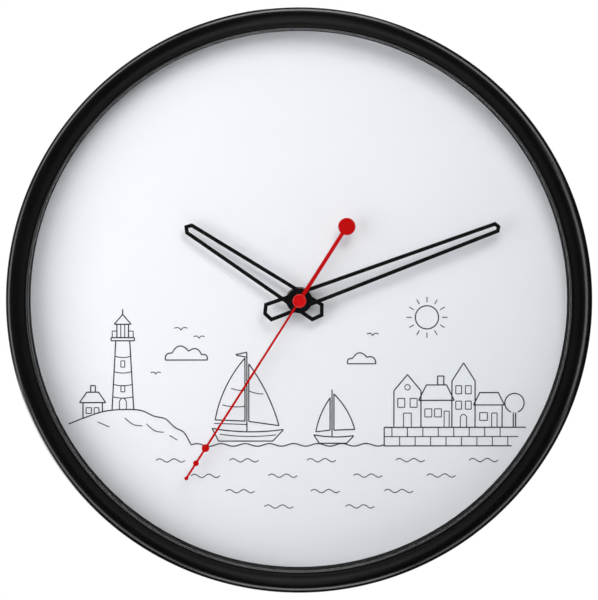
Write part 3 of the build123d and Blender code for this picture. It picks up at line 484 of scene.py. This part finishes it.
headland = [
    (-119, -64), (-110, -60.5), (-101, -57.6), (-92, -56.6), (-82, -57), (-75, -60), (-69, -61.5),
    (-64, -66), (-59.5, -68.5), (-56, -74.6),
]
outlines = [
    flowing(headland),
    swell(-56, 44, -75, 0.7, 12.5),
    # Lighthouse: tower, gallery, lantern and roof
    [
        (TOWER_LEFT, TOWER_FOOT),
        (TOWER_LEFT + TOWER_TAPER, TOWER_TOP),
        (TOWER_RIGHT - TOWER_TAPER, TOWER_TOP),
        (TOWER_RIGHT, TOWER_FOOT),
    ],
    box(-97, TOWER_TOP, 12, 1.6),
    box(-94, -19.4, 6, 6.9),
    [(-95.4, -12.5), (-91, -7.4), (-86.6, -12.5), (-95.4, -12.5)],
    [(-91, -7.4), (-91, -4.6)],
    # Keeper's cottage
    [(-111.6, -61), (-111.6, -53), (-101.6, -53), (-101.6, -57.6)],
    [(-113.4, -53), (-109.6, -47.6), (-103.6, -47.6), (-99.8, -53), (-113.4, -53)],
    doorway(-107.6, -105.2, -47.6, -44.2),
    # Large boat: hull, mast, sails and pennant
    hull((-45, -66.4), (-8, -67), [(-13.6, -73), (-41.6, -73)], -1.5),
    [(-27, -67.8), (-27, -27)],
    sail((-28, -30), (-28, -62.6), (-43.4, -62), 2.4),
    sail((-26, -33), (-26, -62.8), (-10.4, -65), -1.6),
    [(-27, -27), (-33.4, -28.3), (-27, -29.6)],
    # Small boat
    hull((7.6, -69.8), (28.4, -70.2), [(24.6, -74.2), (10.4, -74.2)], -0.9),
    [(17, -70.6), (17, -46.4)],
    sail((18, -48.6), (18, -67.4), (28.8, -67), -1.4),
    sail((16, -50.6), (16, -67.4), (8.6, -68.2), 1.0),
    # Quay
    [(110, QUAY_FOOT), (44, QUAY_FOOT), (44, QUAY_TOP), (117.4, QUAY_TOP)],
    # Four houses, from left to right: gables, roofs and chimneys
    gable(49, 63, QUAY_TOP, -47, -38.6),
    [(61.8, -52), (65.8, -44), (76.2, -44), (80.2, -52), (61.8, -52)],
    doorway(71.6, 74.8, -44, -39.4),
    gable(79, 91, QUAY_TOP, -42, -32.6),
    [(90.2, -54.4), (93.4, -48), (103, -48), (106.2, -54.4), (90.2, -54.4)],
    [(105, QUAY_TOP), (105, -54.4)],
    # Tree at the end of the quay
    arc((111.4, -53.4), 5.0, -70, 250, 24),
    [(110.8, QUAY_TOP), (110.8, -58.3)],
    [(112, -58.3), (112, QUAY_TOP)],
    # Sun
    arc(SUN, SUN_RADIUS, 0, 360, 36),
    # Clouds
    chain(
        bow((-69, -31), (-65.6, -27.4), 1.5),
        bow((-65.6, -27.4), (-57, -26.4), 3.2),
        bow((-57, -26.4), (-50.4, -28.2), 2.2),
        bow((-50.4, -28.2), (-47.4, -31), 1.4),
        [(-47.4, -31), (-69, -31)],
    ),
    chain(
        bow((25, -33), (27.6, -30.2), 1.2),
        bow((27.6, -30.2), (35, -29.6), 2.6),
        bow((35, -29.6), (39.6, -33), 1.8),
        [(39.6, -33), (25, -33)],
    ),
]
details = [
    # Rocks on the headland
    flowing([(-79, -64), (-74.6, -67.6), (-70, -68.4)]),
    flowing([(-90, -61), (-85.6, -64.4), (-81, -65)]),
    flowing([(-67, -70), (-63, -72.4)]),
    flowing([(-104, -63), (-98, -65.6)]),
    # Lighthouse: rails, glazing bars, door and windows
    [(-96.4, -19.4), (-96.4, -16), (-94, -16)],
    [(-88, -16), (-85.6, -16), (-85.6, -19.4)],
    [(-92, -19.4), (-92, -12.5)],
    [(-90, -19.4), (-90, -12.5)],
    doorway(-92.8, -89.2, -56.6, -52.4, 1.8),
    box(-92, -34.6, 2, 3.2),
    box(-92, -47.4, 2, 3.2),
    # Cottage door and window
    box(-110, -58.6, 2.8, 3),
    [(-105.8, -59.2), (-105.8, -55.6), (-103.4, -55.6), (-103.4, -58.3)],
    # Boom and sail seams
    [(-27, -64.4), (-44, -63.8)],
    bow((-35.2, -45.6), (-28, -46.6), -0.5),
    bow((-39.8, -54.2), (-28, -55), -0.6),
    bow((-26, -47), (-18.6, -48.6), -0.4),
    bow((-41, -69.4), (-12, -69.8), -1.0),
    # Joint between the quay's two courses of stone
    [(44, QUAY_MIDDLE), (113.4, QUAY_MIDDLE)],
    # House 1: door, windows and a round light
    doorway(54, 58, QUAY_TOP, -58.6),
    box(51, -55.6, 3.6, 4.6),
    box(57.4, -55.6, 3.6, 4.6),
    arc((56, -45.2), 1.4, 0, 360, 16),
    # House 2: windows and door
    box(65, -60.6, 3.6, 4.2),
    box(70, -60.6, 3.6, 4.2),
    doorway(75, 77.6, QUAY_TOP, -57.6),
    # House 3: four windows and an arched door
    box(81, -48.6, 3, 4.2),
    box(86, -48.6, 3, 4.2),
    box(81, -56.6, 3, 4.2),
    box(86, -56.6, 3, 4.2),
    doorway(83.4, 86.6, QUAY_TOP, -60.6, 1.3),
    # House 4: window and door
    box(93.4, -62.4, 4, 4),
    doorway(99.6, 102.4, QUAY_TOP, -58.6),
]
# Bands round the tower
for z in (-29, -37, -43.6, -50):
    inset = (z - TOWER_FOOT) / (TOWER_TOP - TOWER_FOOT) * TOWER_TAPER
    details.append(bow((TOWER_LEFT + inset, z), (TOWER_RIGHT - inset, z), -0.7, 5))
# Upright joints of the quay, half a stone apart from one course to the next
for x in range(48, 112, STONE_LENGTH):
    shifted = x + STONE_LENGTH / 2
    details.append([(x, QUAY_TOP), (x, QUAY_MIDDLE)])
    details.append([(shifted, QUAY_MIDDLE), (shifted, QUAY_FOOT)])
# Sun's rays
for count in range(SUN_RAYS):
    turn = 2 * math.pi * count / SUN_RAYS
    details.append([(SUN[0] + r * math.cos(turn), SUN[1] + r * math.sin(turn)) for r in (7.8, 10.6)])
# Gulls: the place of each and the reach of its wings
for x, z, wing in ((-61, -15, 3.4), (-51.6, -19.4, 2.8), (38, -18, 3.0), (-74, -38, 2.6)):
    left, body, right = (x - wing, z + 0.4), (x, z - 0.6), (x + wing, z + 0.4)
    details.append(chain(bow(left, body, 0.9, 6), bow(body, right, 0.9, 6)))
# Ripples: the height of each row and where its waves start
ripples = {
    -83: (-74, -36, 4, 50, 88),
    -91: (-56, -16, 28, 66),
    -99: (-38, 6, 44),
    -107: (-18, 24),
}
for z, starts in ripples.items():
    for x in starts:
        details.append(swell(x, x + RIPPLE_LENGTH, z, 0.9, RIPPLE_LENGTH / 2, 8))

pen_line, pen_sizes = geometry_tree(
    "pen_line",
    {
        "Strokes": "NodeSocketGeometry",
        "Width": "NodeSocketFloat",
        "Thickness": "NodeSocketFloat",
        "Corner": "NodeSocketFloat",
        "Turn": "NodeSocketVector",
        "Place": "NodeSocketVector",
        "Finish": "NodeSocketMaterial",
    },
)
strokes = pen_sizes.node("GeometryNodeMeshToCurve", inputs={"Mesh": pen_sizes.other("Strokes")})
soft = pen_sizes.node(
    "GeometryNodeFilletCurve",
    {"mode": "POLY"},
    {
        "Curve": strokes,
        "Count": INK_CORNER_STEPS,
        "Radius": pen_sizes.other("Corner"),
        "Limit Radius": True,
    },
)
flat = pen_sizes.node("GeometryNodeSetCurveNormal", {"mode": "Z_UP"}, {"Curve": soft})
nib = pen_sizes.node(
    "GeometryNodeCurvePrimitiveQuadrilateral",
    inputs={"Width": pen_sizes.other("Width"), "Height": pen_sizes.other("Thickness")},
)
ribbon = pen_sizes.node(
    "GeometryNodeCurveToMesh", inputs={"Curve": flat, "Profile Curve": nib, "Fill Caps": True}
)
laid = pen_sizes.node(
    "GeometryNodeTransform",
    inputs={
        "Geometry": ribbon,
        "Translation": pen_sizes.other("Place"),
        "Rotation": pen_sizes.other("Turn"),
    },
)
close_tree(pen_sizes, laid)


def printing_ink(place):
    cover = place.noise(900.0, 3.0)
    return {
        "Base Color": place.blend(cover, (0.026, 0.026, 0.03, 1.0), (0.045, 0.045, 0.05, 1.0)),
        "Roughness": 0.5 + 0.15 * cover,
        "Specular IOR Level": 0.3,
    }


ink = finish("printing_ink", printing_ink)
for name, lines, width in (
    ("print_outlines", outlines, OUTLINE_WIDTH),
    ("print_details", details, DETAIL_WIDTH),
):
    scaled = [[(x * MM, z * MM) for x, z in line] for line in lines]
    art = grown(
        name,
        lines_mesh(name, scaled),
        pen_line,
        {
            "Width": width,
            "Thickness": INK_THICKNESS,
            "Corner": INK_CORNER,
            "Turn": (FACING_ROOM, 0.0, 0.0),
            "Place": (0.0, -DIAL_FRONT - INK_THICKNESS / 2 + INK_SUNK, 0.0),
            "Finish": ink,
        },
    )
    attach(art, "case")


# Back pan: charcoal plastic, moulded in one piece with its ribs, the fence round the movement and the
# hanger box. Every edge has the small radius of the mould, so the edges are softened here.
PAN_EDGE = 0.35 * MM
EDGE_STEPS = 2
CORNER_MERGE = 0.001 * MM
FLAT_ANGLE = math.radians(0.3)


def softened(name, node, width, material, body, angle=40.0):
    """A copy of a CAD piece, with the edges sharper than the angle rounded, which stands for it."""
    mesh = bpy.data.meshes.new(name)
    shape = bmesh.new()
    shape.from_mesh(nodes[node].data)
    bmesh.ops.remove_doubles(shape, verts=shape.verts, dist=CORNER_MERGE)
    bmesh.ops.dissolve_limit(shape, angle_limit=FLAT_ANGLE, verts=shape.verts, edges=shape.edges)
    shape.to_mesh(mesh)
    shape.free()
    mesh.materials.append(material)
    mesh.shade_smooth()
    piece = bpy.data.objects.new(name, mesh)
    bpy.context.scene.collection.objects.link(piece)
    edge = piece.modifiers.new("edge", "BEVEL")
    edge.width = width
    edge.segments = EDGE_STEPS
    edge.limit_method = "ANGLE"
    edge.angle_limit = math.radians(angle)
    seam = piece.modifiers.new("seam", "WELD")
    seam.merge_threshold = WELD
    even = piece.modifiers.new("even", "WEIGHTED_NORMAL")
    even.weight = 100
    even.keep_sharp = True
    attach(piece, body)
    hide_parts(node)


charcoal = finish("charcoal_plastic", moulded((0.036, 0.037, 0.039, 1.0), 0.46, 0.6 * MM, 0.02 * MM))
softened("pan_moulding", "back_pan", PAN_EDGE, charcoal, "case")


# Pan screws: six zinc plated self-tapping screws with cross recesses, run into the rim's posts.
# The plating is bright with a slight yellow, rubbed dull on the heads.
SCREW_EDGE = 0.12 * MM


def zinc_plate(place):
    rub = place.noise(700.0, 4.0)
    return {
        "Base Color": place.blend(rub, (0.48, 0.47, 0.43, 1.0), (0.62, 0.61, 0.58, 1.0)),
        "Metallic": 1.0,
        "Roughness": 0.26 + 0.22 * rub,
    }


zinc = finish("zinc_plate", zinc_plate)
softened("screw_heads", "pan_screws", SCREW_EDGE, zinc, "case")


# Movement housing: two halves of black plastic that snap together, with the battery bay open at the
# back. Its walls carry a coarser spark grain than the rim.
HOUSING_EDGE = 0.2 * MM
housing = finish("housing_black", moulded((0.013, 0.013, 0.014, 1.0), 0.55, 0.5 * MM, 0.025 * MM))
softened("housing_front", "movement_case", HOUSING_EDGE, housing, "case")
softened("housing_cover", "movement_cover", HOUSING_EDGE, housing, "case")


# Marks raised on the back of the housing: a plus and a minus beside the battery's ends, and two
# arrows round the setting knob. They stand up a little, and their tops are hot stamped in pale grey.
COVER_REAR = 4.5 * MM
MARK_WIDTH = 0.7 * MM
MARK_THICKNESS = 0.5 * MM
MARK_SUNK = 0.2 * MM
SIGN_X, SIGN_Z = 23.0, -8.6
SIGN_REACH = 1.6
KNOB_X, KNOB_Z = -11.486, 0.0
ARROW_RADIUS = 6.6
ARROW_STARTS = (25, 205)
ARROW_SWEEP = 110
ARROW_STEPS = 18
BARB_LENGTH = 1.9
BARB_SWING = math.radians(148)
stamped_grey = finish("stamped_grey", moulded((0.3, 0.3, 0.31, 1.0), 0.45))
marks = [
    [(SIGN_X - SIGN_REACH, SIGN_Z), (SIGN_X + SIGN_REACH, SIGN_Z)],
    [(SIGN_X, SIGN_Z - SIGN_REACH), (SIGN_X, SIGN_Z + SIGN_REACH)],
    [(-SIGN_X - SIGN_REACH, SIGN_Z), (-SIGN_X + SIGN_REACH, SIGN_Z)],
]
for start in ARROW_STARTS:
    marks.append(arc((KNOB_X, KNOB_Z), ARROW_RADIUS, start, start + ARROW_SWEEP, ARROW_STEPS))
    tip = math.radians(start + ARROW_SWEEP)
    tip_x = KNOB_X + ARROW_RADIUS * math.cos(tip)
    tip_z = KNOB_Z + ARROW_RADIUS * math.sin(tip)
    barbs = []
    for swing in (BARB_SWING, -BARB_SWING):
        heading = tip + math.pi / 2 + swing
        barbs.append((tip_x + BARB_LENGTH * math.cos(heading), tip_z + BARB_LENGTH * math.sin(heading)))
    marks.append([barbs[0], (tip_x, tip_z), barbs[1]])
cover_marks = grown(
    "cover_marks",
    lines_mesh("cover_marks", [[(x * MM, -z * MM) for x, z in line] for line in marks]),
    pen_line,
    {
        "Width": MARK_WIDTH,
        "Thickness": MARK_THICKNESS,
        "Corner": 0.0,
        "Turn": (-FACING_ROOM, 0.0, 0.0),
        "Place": (0.0, -COVER_REAR + MARK_THICKNESS / 2 - MARK_SUNK, 0.0),
        "Finish": stamped_grey,
    },
)
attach(cover_marks, "case")


# Setting knob: a fluted disc of grey plastic pressed on the end of the minute wheel's stem.
# Turning it by hand sets the time.
KNOB_EDGE = 0.15 * MM
KNOB_EDGE_ANGLE = 50.0
knob_grey = finish("knob_grey", moulded((0.19, 0.19, 0.2, 1.0), 0.48))
softened(
    "knob_moulding", "setting_knob", KNOB_EDGE, knob_grey, "setting_set", KNOB_EDGE_ANGLE
)


# Bushing, nut and the hands' collets: turned brass, with fine rings about the hands' axis. The nut
# clamps the movement to the pan and the dial, and the bushing's thread shows in front of it.
TURNING_PITCH = 0.16 * MM
THREAD_PITCH = 0.5 * MM


def turned_brass(place):
    x, y, z = place.axes()
    rings = place.math("SINE", x.hypot(z) * (2 * math.pi / TURNING_PITCH))
    thread = place.math("SINE", y * (2 * math.pi / THREAD_PITCH))
    stain = place.noise(260.0, 4.0)
    return {
        "Base Color": place.blend(stain, (0.52, 0.37, 0.17, 1.0), (0.66, 0.5, 0.27, 1.0)),
        "Metallic": 1.0,
        "Roughness": 0.24 + 0.2 * stain,
        "Normal": place.bump(rings + 2.0 * thread, 0.006 * MM),
    }


brass = finish("turned_brass", turned_brass)
for node in ("shaft_bushing", "dial_nut", "hour_collet", "minute_collet", "second_socket"):
    dress(node, brass)


# Dial washer: a ring stamped from brass sheet, which the nut presses on the dial. Its face is bright
# brass, and near its outer edge it turns dark and less metallic, where the dark ends in a ragged line.
BROWN_START = 6.6 * MM
BROWN_RAGGED = 0.2 * MM


def browned_edge(place):
    x, _, z = place.axes()
    stain = place.noise(900.0, 3.0)
    # Darker and less metallic beyond a ragged line near the outer edge.
    brown = x.hypot(z) + BROWN_RAGGED * stain > BROWN_START
    return {
        "Base Color": place.blend(brown, (0.5, 0.42, 0.34, 1.0), (0.03, 0.018, 0.014, 1.0)),
        "Metallic": 0.85 - 0.6 * brown,
        "Roughness": 0.35 + 0.2 * stain,
    }


dress("dial_washer", finish("browned_edge", browned_edge))


# Rubber washer: a soft moulded ring round the bushing, between the housing and the pan, that the nut
# squeezes so that the movement can't turn. Its black is dull, with a little dust.
def dusty_rubber(place):
    dust = place.noise(420.0, 5.0)
    return {
        "Base Color": place.blend(dust, (0.012, 0.012, 0.012, 1.0), (0.035, 0.034, 0.033, 1.0)),
        "Roughness": 0.78 + 0.12 * dust,
        "Normal": place.bump(dust, 0.02 * MM),
    }


dress("cushion_washer", finish("dusty_rubber", dusty_rubber))


# Train: bridge, wheels, pipes and the coil's bobbin, all moulded in white acetal, which is waxy and
# a little translucent.
def white_acetal(place):
    clouds = place.noise(160.0, 3.0)
    return {
        "Base Color": place.blend(clouds, (0.74, 0.73, 0.69, 1.0), (0.82, 0.815, 0.78, 1.0)),
        "Roughness": 0.36 + 0.12 * clouds,
        "Normal": place.bump(place.noise(2200.0), 0.006 * MM),
        "Subsurface Weight": 0.08,
        "Subsurface Scale": 0.6 * MM,
    }


acetal = finish("white_acetal", white_acetal)
for node in (
    "train_bridge",
    "coil_bobbin",
    "rotor",
    "intermediate_wheel",
    "seconds_wheel",
    "third_wheel",
    "centre_wheel",
    "minute_pipe",
    "minute_wheel",
    "hour_wheel",
):
    dress(node, acetal)


# Circuit: a green glass fibre board with a weave under its lacquer, a black epoxy drop over the chip
# and a small nickel can for the quartz crystal.
WEAVE_PITCH = MM / 1.4


def grey(level):
    return (level, level, level, 1.0)


def board_lacquer(place):
    weave = place.node(
        "ShaderNodeTexChecker",
        inputs={"Vector": place, "Scale": 1.0 / WEAVE_PITCH, "Color1": grey(0.0), "Color2": grey(1.0)},
        output="Fac",
    )
    return {
        "Base Color": place.blend(weave, (0.012, 0.1, 0.045, 1.0), (0.016, 0.125, 0.058, 1.0)),
        "Roughness": 0.3 + 0.05 * weave,
        "Normal": place.bump(weave, 0.004 * MM),
    }


def epoxy_drop(place):
    flow = place.noise(500.0, 2.0)
    return {
        "Base Color": place.blend(flow, (0.006, 0.006, 0.006, 1.0), (0.014, 0.014, 0.015, 1.0)),
        "Roughness": 0.12 + 0.14 * flow,
    }


def nickel_plate(place):
    haze = place.noise(600.0, 4.0)
    return {
        "Base Color": place.blend(haze, (0.6, 0.58, 0.54, 1.0), (0.72, 0.7, 0.67, 1.0)),
        "Metallic": 1.0,
        "Roughness": 0.16 + 0.2 * haze,
    }


nickel = finish("nickel_plate", nickel_plate)
dress("circuit_board", finish("board_lacquer", board_lacquer))
dress("driver_chip", finish("epoxy_drop", epoxy_drop))
dress("quartz_crystal", nickel)


# Step motor: soft iron core and stator, a copper winding whose turns run round the core, and a dark
# sintered magnet on the rotor. The second hand's arbor is drawn steel.
WIRE_PITCH = 0.12 * MM


def soft_iron(place):
    scale = place.noise(800.0, 4.0)
    return {
        "Base Color": place.blend(scale, (0.3, 0.3, 0.3, 1.0), (0.44, 0.44, 0.43, 1.0)),
        "Metallic": 1.0,
        "Roughness": 0.35 + 0.2 * scale,
    }


def copper_wire(place):
    _, _, along = place.axes()
    # Painted shade and highlight: the colour is darker in the grooves between the turns and paler on their
    # crests.
    turns = place.math("SINE", along * (2 * math.pi / WIRE_PITCH))
    return {
        "Base Color": place.blend(turns * 0.5 + 0.5, (0.36, 0.12, 0.05, 1.0), (0.6, 0.25, 0.12, 1.0)),
        "Metallic": 0.85,
        "Roughness": 0.34 - 0.08 * turns,
        "Normal": place.bump(turns, 0.03 * MM),
    }


def sintered(place):
    grains = place.noise(1800.0, 3.0)
    return {
        "Base Color": place.blend(grains, (0.05, 0.05, 0.055, 1.0), (0.11, 0.11, 0.12, 1.0)),
        "Metallic": 0.6,
        "Roughness": 0.45 + 0.2 * grains,
    }


def drawn_steel(place):
    lines = place.noise(1500.0, 3.0)
    return {
        "Base Color": place.blend(lines, (0.5, 0.5, 0.5, 1.0), (0.66, 0.66, 0.65, 1.0)),
        "Metallic": 1.0,
        "Roughness": 0.18 + 0.14 * lines,
    }


iron = finish("soft_iron", soft_iron)
dress("coil_core", iron)
dress("stator", iron)
dress("coil_winding", finish("copper_wire", copper_wire))
dress("rotor_magnet", finish("sintered_magnet", sintered))
dress("seconds_arbor", finish("drawn_steel", drawn_steel))


# Hour and minute hands: skeleton frames stamped from thin aluminium sheet and sprayed satin black.
# The paint rounds their edges and has a faint orange peel.
HAND_EDGE = 0.05 * MM


def black_paint(place):
    peel = place.noise(900.0, 2.0)
    return {
        "Base Color": place.blend(peel, (0.0016, 0.0015, 0.0016, 1.0), (0.004, 0.0038, 0.004, 1.0)),
        "Roughness": 0.24 + 0.08 * peel,
        "Normal": place.bump(peel, 0.003 * MM),
        "Specular IOR Level": 0.15,
    }


hand_black = finish("black_paint", black_paint)
softened("hour_frame", "hour_hand", HAND_EDGE, hand_black, "hour_set")
softened("minute_frame", "minute_hand", HAND_EDGE, hand_black, "minute_set")


# Second hand: the same thin sheet in signal red, with a disc as its counterweight and three beads
# towards its point. A dished red cap, moulded in plastic, covers its socket, and a lighter red ring
# round its rim is a painted highlight.
BLADE_EDGE = 0.1 * MM
CAP_FACE, CAP_EDGE = 2.8 * MM, 3.4 * MM


def red_paint(place):
    peel = place.noise(1100.0, 2.0)
    return {
        "Base Color": place.blend(peel, (0.5, 0.0008, 0.001, 1.0), (0.55, 0.0014, 0.0016, 1.0)),
        "Roughness": 0.2 + 0.08 * peel,
        "Normal": place.bump(peel, 0.003 * MM),
        "Specular IOR Level": 0.15,
    }


def red_cap(place):
    x, _, z = place.axes()
    # Painted highlight: the cap turns a lighter red in a ring round its rim.
    edge = x.hypot(z).rise(CAP_FACE, CAP_EDGE)
    clouds = place.noise(700.0, 2.0)
    face = place.blend(clouds, (0.62, 0.0012, 0.002, 1.0), (0.69, 0.002, 0.003, 1.0))
    return {
        "Base Color": place.blend(edge, face, (0.74, 0.028, 0.03, 1.0)),
        "Roughness": 0.16 + 0.06 * clouds,
        "Coat Weight": 0.25,
    }


hand_red = finish("red_paint", red_paint)
softened("second_blade", "second_hand", BLADE_EDGE, hand_red, "second_set")
dress("second_cap", finish("red_cap", red_cap))


# Battery and contacts: one plain AA cell in a printed jacket, grey with a pale band and a plus and a
# minus, between contacts of nickelled strip.
CELL_LEFT, CELL_RIGHT = -25.25 * MM, 24.05 * MM
CELL_Y, CELL_Z = -9.25 * MM, -19.336 * MM
BAND_LEFT = 9.0 * MM
BARE_END = 0.7 * MM
PLUS_X, MINUS_X = 17.0 * MM, -19.0 * MM
STROKE_REACH, STROKE_HALF = 1.6 * MM, 0.4 * MM


def cell_jacket(place):
    x, y, z = place.axes()
    facing = y > CELL_Y
    tall = abs(z - CELL_Z) < STROKE_REACH
    thin = abs(z - CELL_Z) < STROKE_HALF
    bar = (abs(x - PLUS_X) < STROKE_REACH) * thin
    stem = (abs(x - PLUS_X) < STROKE_HALF) * tall
    plus = (bar | stem) * facing
    minus = (abs(x - MINUS_X) < STROKE_REACH) * thin * facing
    metal = (x > CELL_RIGHT - BARE_END) | (x < CELL_LEFT + BARE_END)
    scuff = place.noise(380.0, 4.0)
    jacket = place.blend(x > BAND_LEFT, (0.055, 0.07, 0.1, 1.0), (0.62, 0.63, 0.64, 1.0))
    signed = place.blend(plus, jacket, (0.03, 0.035, 0.045, 1.0))
    marked = place.blend(minus, signed, (0.75, 0.75, 0.75, 1.0))
    return {
        "Base Color": place.blend(metal, marked, (0.6, 0.58, 0.55, 1.0)),
        "Metallic": 0.35 + 0.65 * metal,
        "Roughness": 0.26 + 0.14 * scuff,
    }


dress("battery_can", finish("cell_jacket", cell_jacket))
for node in ("battery_nub", "positive_contact", "negative_contact"):
    dress(node, nickel)


# Studio: a pale floor well below the clock, soft lamps round its front and back, and a white
# surround. The floor keeps its shading near the clock and fades into the white further out.
FLOOR_DROP = 0.6
FLOOR_HALF = 1.0
FLOOR_PALE = grey(0.86)
FADE_START, FADE_END = 0.25, 0.9

floor_mesh = bpy.data.meshes.new("floor")
floor_mesh.from_pydata(
    [(x * FLOOR_HALF, y * FLOOR_HALF, -FLOOR_DROP) for x, y in ((-1, -1), (1, -1), (1, 1), (-1, 1))],
    [],
    [(0, 1, 2, 3)],
)
floor = bpy.data.objects.new("floor", floor_mesh)
bpy.context.scene.collection.objects.link(floor)
floor.visible_glossy = False

floor_paint = bpy.data.materials.new("floor_paint")
floor_paint.use_nodes = True
floor_paint.node_tree.nodes.clear()
spot = Wire(floor_paint.node_tree).node("ShaderNodeTexCoord", output="Object")
spot_x, spot_y, _ = spot.axes()
fade = spot_x.hypot(spot_y).rise(FADE_START, FADE_END)
looks = spot.node("ShaderNodeLightPath")
looked_at = looks.other("Is Camera Ray") | looks.other("Is Glossy Ray") | looks.other("Is Transmission Ray")
matt = spot.node("ShaderNodeBsdfDiffuse", inputs={"Color": FLOOR_PALE})
white = spot.node("ShaderNodeEmission", inputs={"Color": grey(1.0), "Strength": 1.0})
mixed = spot.node("ShaderNodeMixShader", inputs={0: fade * looked_at, 1: matt, 2: white})
spot.node("ShaderNodeOutputMaterial", inputs={"Surface": mixed})
floor_mesh.materials.append(floor_paint)

# The surround is white to the eye and an even, slightly cold sky to matt surfaces. Gloss sees a dark
# room in it, with a pale wall at the back and two panels in front, over and under the eye.
AMBIENT = 0.19
COOL = (0.91, 0.985, 1.09, 1.0)
WALL_START, WALL_FULL = 0.55, 1.0
WALL_LOW, WALL_HIGH = 0.02, 0.5
EYE_ACROSS, EYE_UP = 0.0133, -0.047
PANEL_START, PANEL_FULL, PANEL_DIMMED = 0.0935, 0.14, 0.2
PANEL_NEAR, PANEL_FAR = 2.1, 0.6
PANEL_FADE, PANEL_END = 0.35, 0.75
PANEL_SIDE, PANEL_SIDE_END = 0.03, 0.12

world = bpy.data.worlds.new("white_surround")
bpy.context.scene.world = world
world.use_nodes = True
world.node_tree.nodes.clear()
sight = Wire(world.node_tree).node("ShaderNodeLightPath")
seen = sight.other("Is Camera Ray") | sight.other("Is Transmission Ray")
glossy = sight.other("Is Glossy Ray")
across, backward, upward = sight.node("ShaderNodeTexCoord", output="Generated").axes()
wall = backward.rise(WALL_START, WALL_FULL, WALL_LOW, WALL_HIGH)
above = abs(upward - EYE_UP)
beside = abs(across - EYE_ACROSS)
glow = above.rise(PANEL_FULL, PANEL_DIMMED, PANEL_NEAR, PANEL_FAR)
span = above.rise(PANEL_START, PANEL_FULL) * above.rise(PANEL_FADE, PANEL_END, 1.0, 0.0)
width = beside.rise(PANEL_SIDE, PANEL_SIDE_END, 1.0, 0.0)
panels = glow * span * width * (backward < 0)
strength = seen + (1 - seen) * (glossy * (wall + panels) + (1 - glossy) * AMBIENT)
tint = sight.blend(seen | glossy, COOL, grey(1.0))
sky = sight.node("ShaderNodeBackground", inputs={"Color": tint, "Strength": strength})
sight.node("ShaderNodeOutputWorld", inputs={"Surface": sky})


def lamp(name, direction, distance, size, power, gloss=False, top=(0.0, 0.0, 1.0)):
    """A soft lamp that looks at the clock. It lights matt surfaces, or only shows in the gloss."""
    light = bpy.data.lights.new(name, "AREA")
    light.shape = "RECTANGLE"
    light.energy = power
    light.size, light.size_y = size
    made = bpy.data.objects.new(name, light)
    back = Vector(direction).normalized()
    made.location = back * distance
    right = Vector(top).cross(back).normalized()
    made.rotation_euler = Matrix((right, back.cross(right), back)).transposed().to_euler()
    made.visible_glossy = gloss
    made.visible_diffuse = not gloss
    bpy.context.scene.collection.objects.link(made)


lamp("lamp_left", (-1.0, -1.0, 0.0), 0.6, size=(0.5, 0.5), power=2.65)
lamp("lamp_top", (0.2, -1.0, 0.62), 0.9, size=(0.4, 0.4), power=3.2)
lamp("lamp_high", (0.0, -1.0, 0.8), 0.9, size=(0.5, 0.5), power=1.25)
lamp("lamp_back_left", (-0.6, 0.75, 0.45), 1.5, size=(0.5, 0.5), power=9.0)
lamp("lamp_back_right", (0.65, 0.7, 0.3), 1.6, size=(0.6, 0.6), power=6.0)
lamp("card_back", (0.2, 0.9, 0.6), 1.4, size=(0.7, 0.7), power=6.0, gloss=True)
lamp("card_back_low", (-0.8, 0.6, -0.5), 1.3, size=(0.9, 0.4), power=5.0, gloss=True)

# Pale cards stand round the clock like the hours, and only its gloss shows them. Each has its place
# in degrees clockwise from twelve, its angle off the dial's axis and its power.
CARD_DISTANCE = 1.15
CARD_SIZE = (0.85, 0.3)
cards = (
    (0, 84, 5.2),
    (45, 74, 3.0),
    (90, 58, 2.6),
    (135, 76, 2.0),
    (180, 78, 3.6),
    (225, 72, 2.4),
    (270, 84, 2.8),
    (315, 86, 3.2),
)
for clockwise, off_axis, power in cards:
    hour, tilt = math.radians(clockwise), math.radians(off_axis)
    outward = Vector((math.sin(hour), 0.0, math.cos(hour)))
    direction = outward * math.sin(tilt) - Vector((0.0, math.cos(tilt), 0.0))
    lamp(f"card_{clockwise}", direction, CARD_DISTANCE, CARD_SIZE, power, gloss=True, top=outward)


# Camera: a long lens in front of the dial, a little above its middle and a little to its left. Its
# length follows from the rim's radius in the picture, and its aim puts the rim where the picture has it.
PICTURE_HEIGHT = 600
RIM_PIXELS = 293.6
SENSOR = 24.0
CAMERA_PLACE = Vector((-0.02, -1.537, 0.07))
AIM = Vector((-0.00026, -0.037, 0.00067))

view_line = AIM - CAMERA_PLACE
camera_data = bpy.data.cameras.new("camera")
camera_data.sensor_fit = "VERTICAL"
camera_data.sensor_height = SENSOR
camera_data.lens = RIM_PIXELS / RIM_RADIUS * view_line.length / PICTURE_HEIGHT * SENSOR
camera = bpy.data.objects.new("camera", camera_data)
camera.location = CAMERA_PLACE
camera.rotation_euler = view_line.to_track_quat("-Z", "Y").to_euler()
bpy.context.scene.collection.objects.link(camera)
bpy.context.scene.camera = camera

bpy.context.scene.view_settings.view_transform = "Standard"
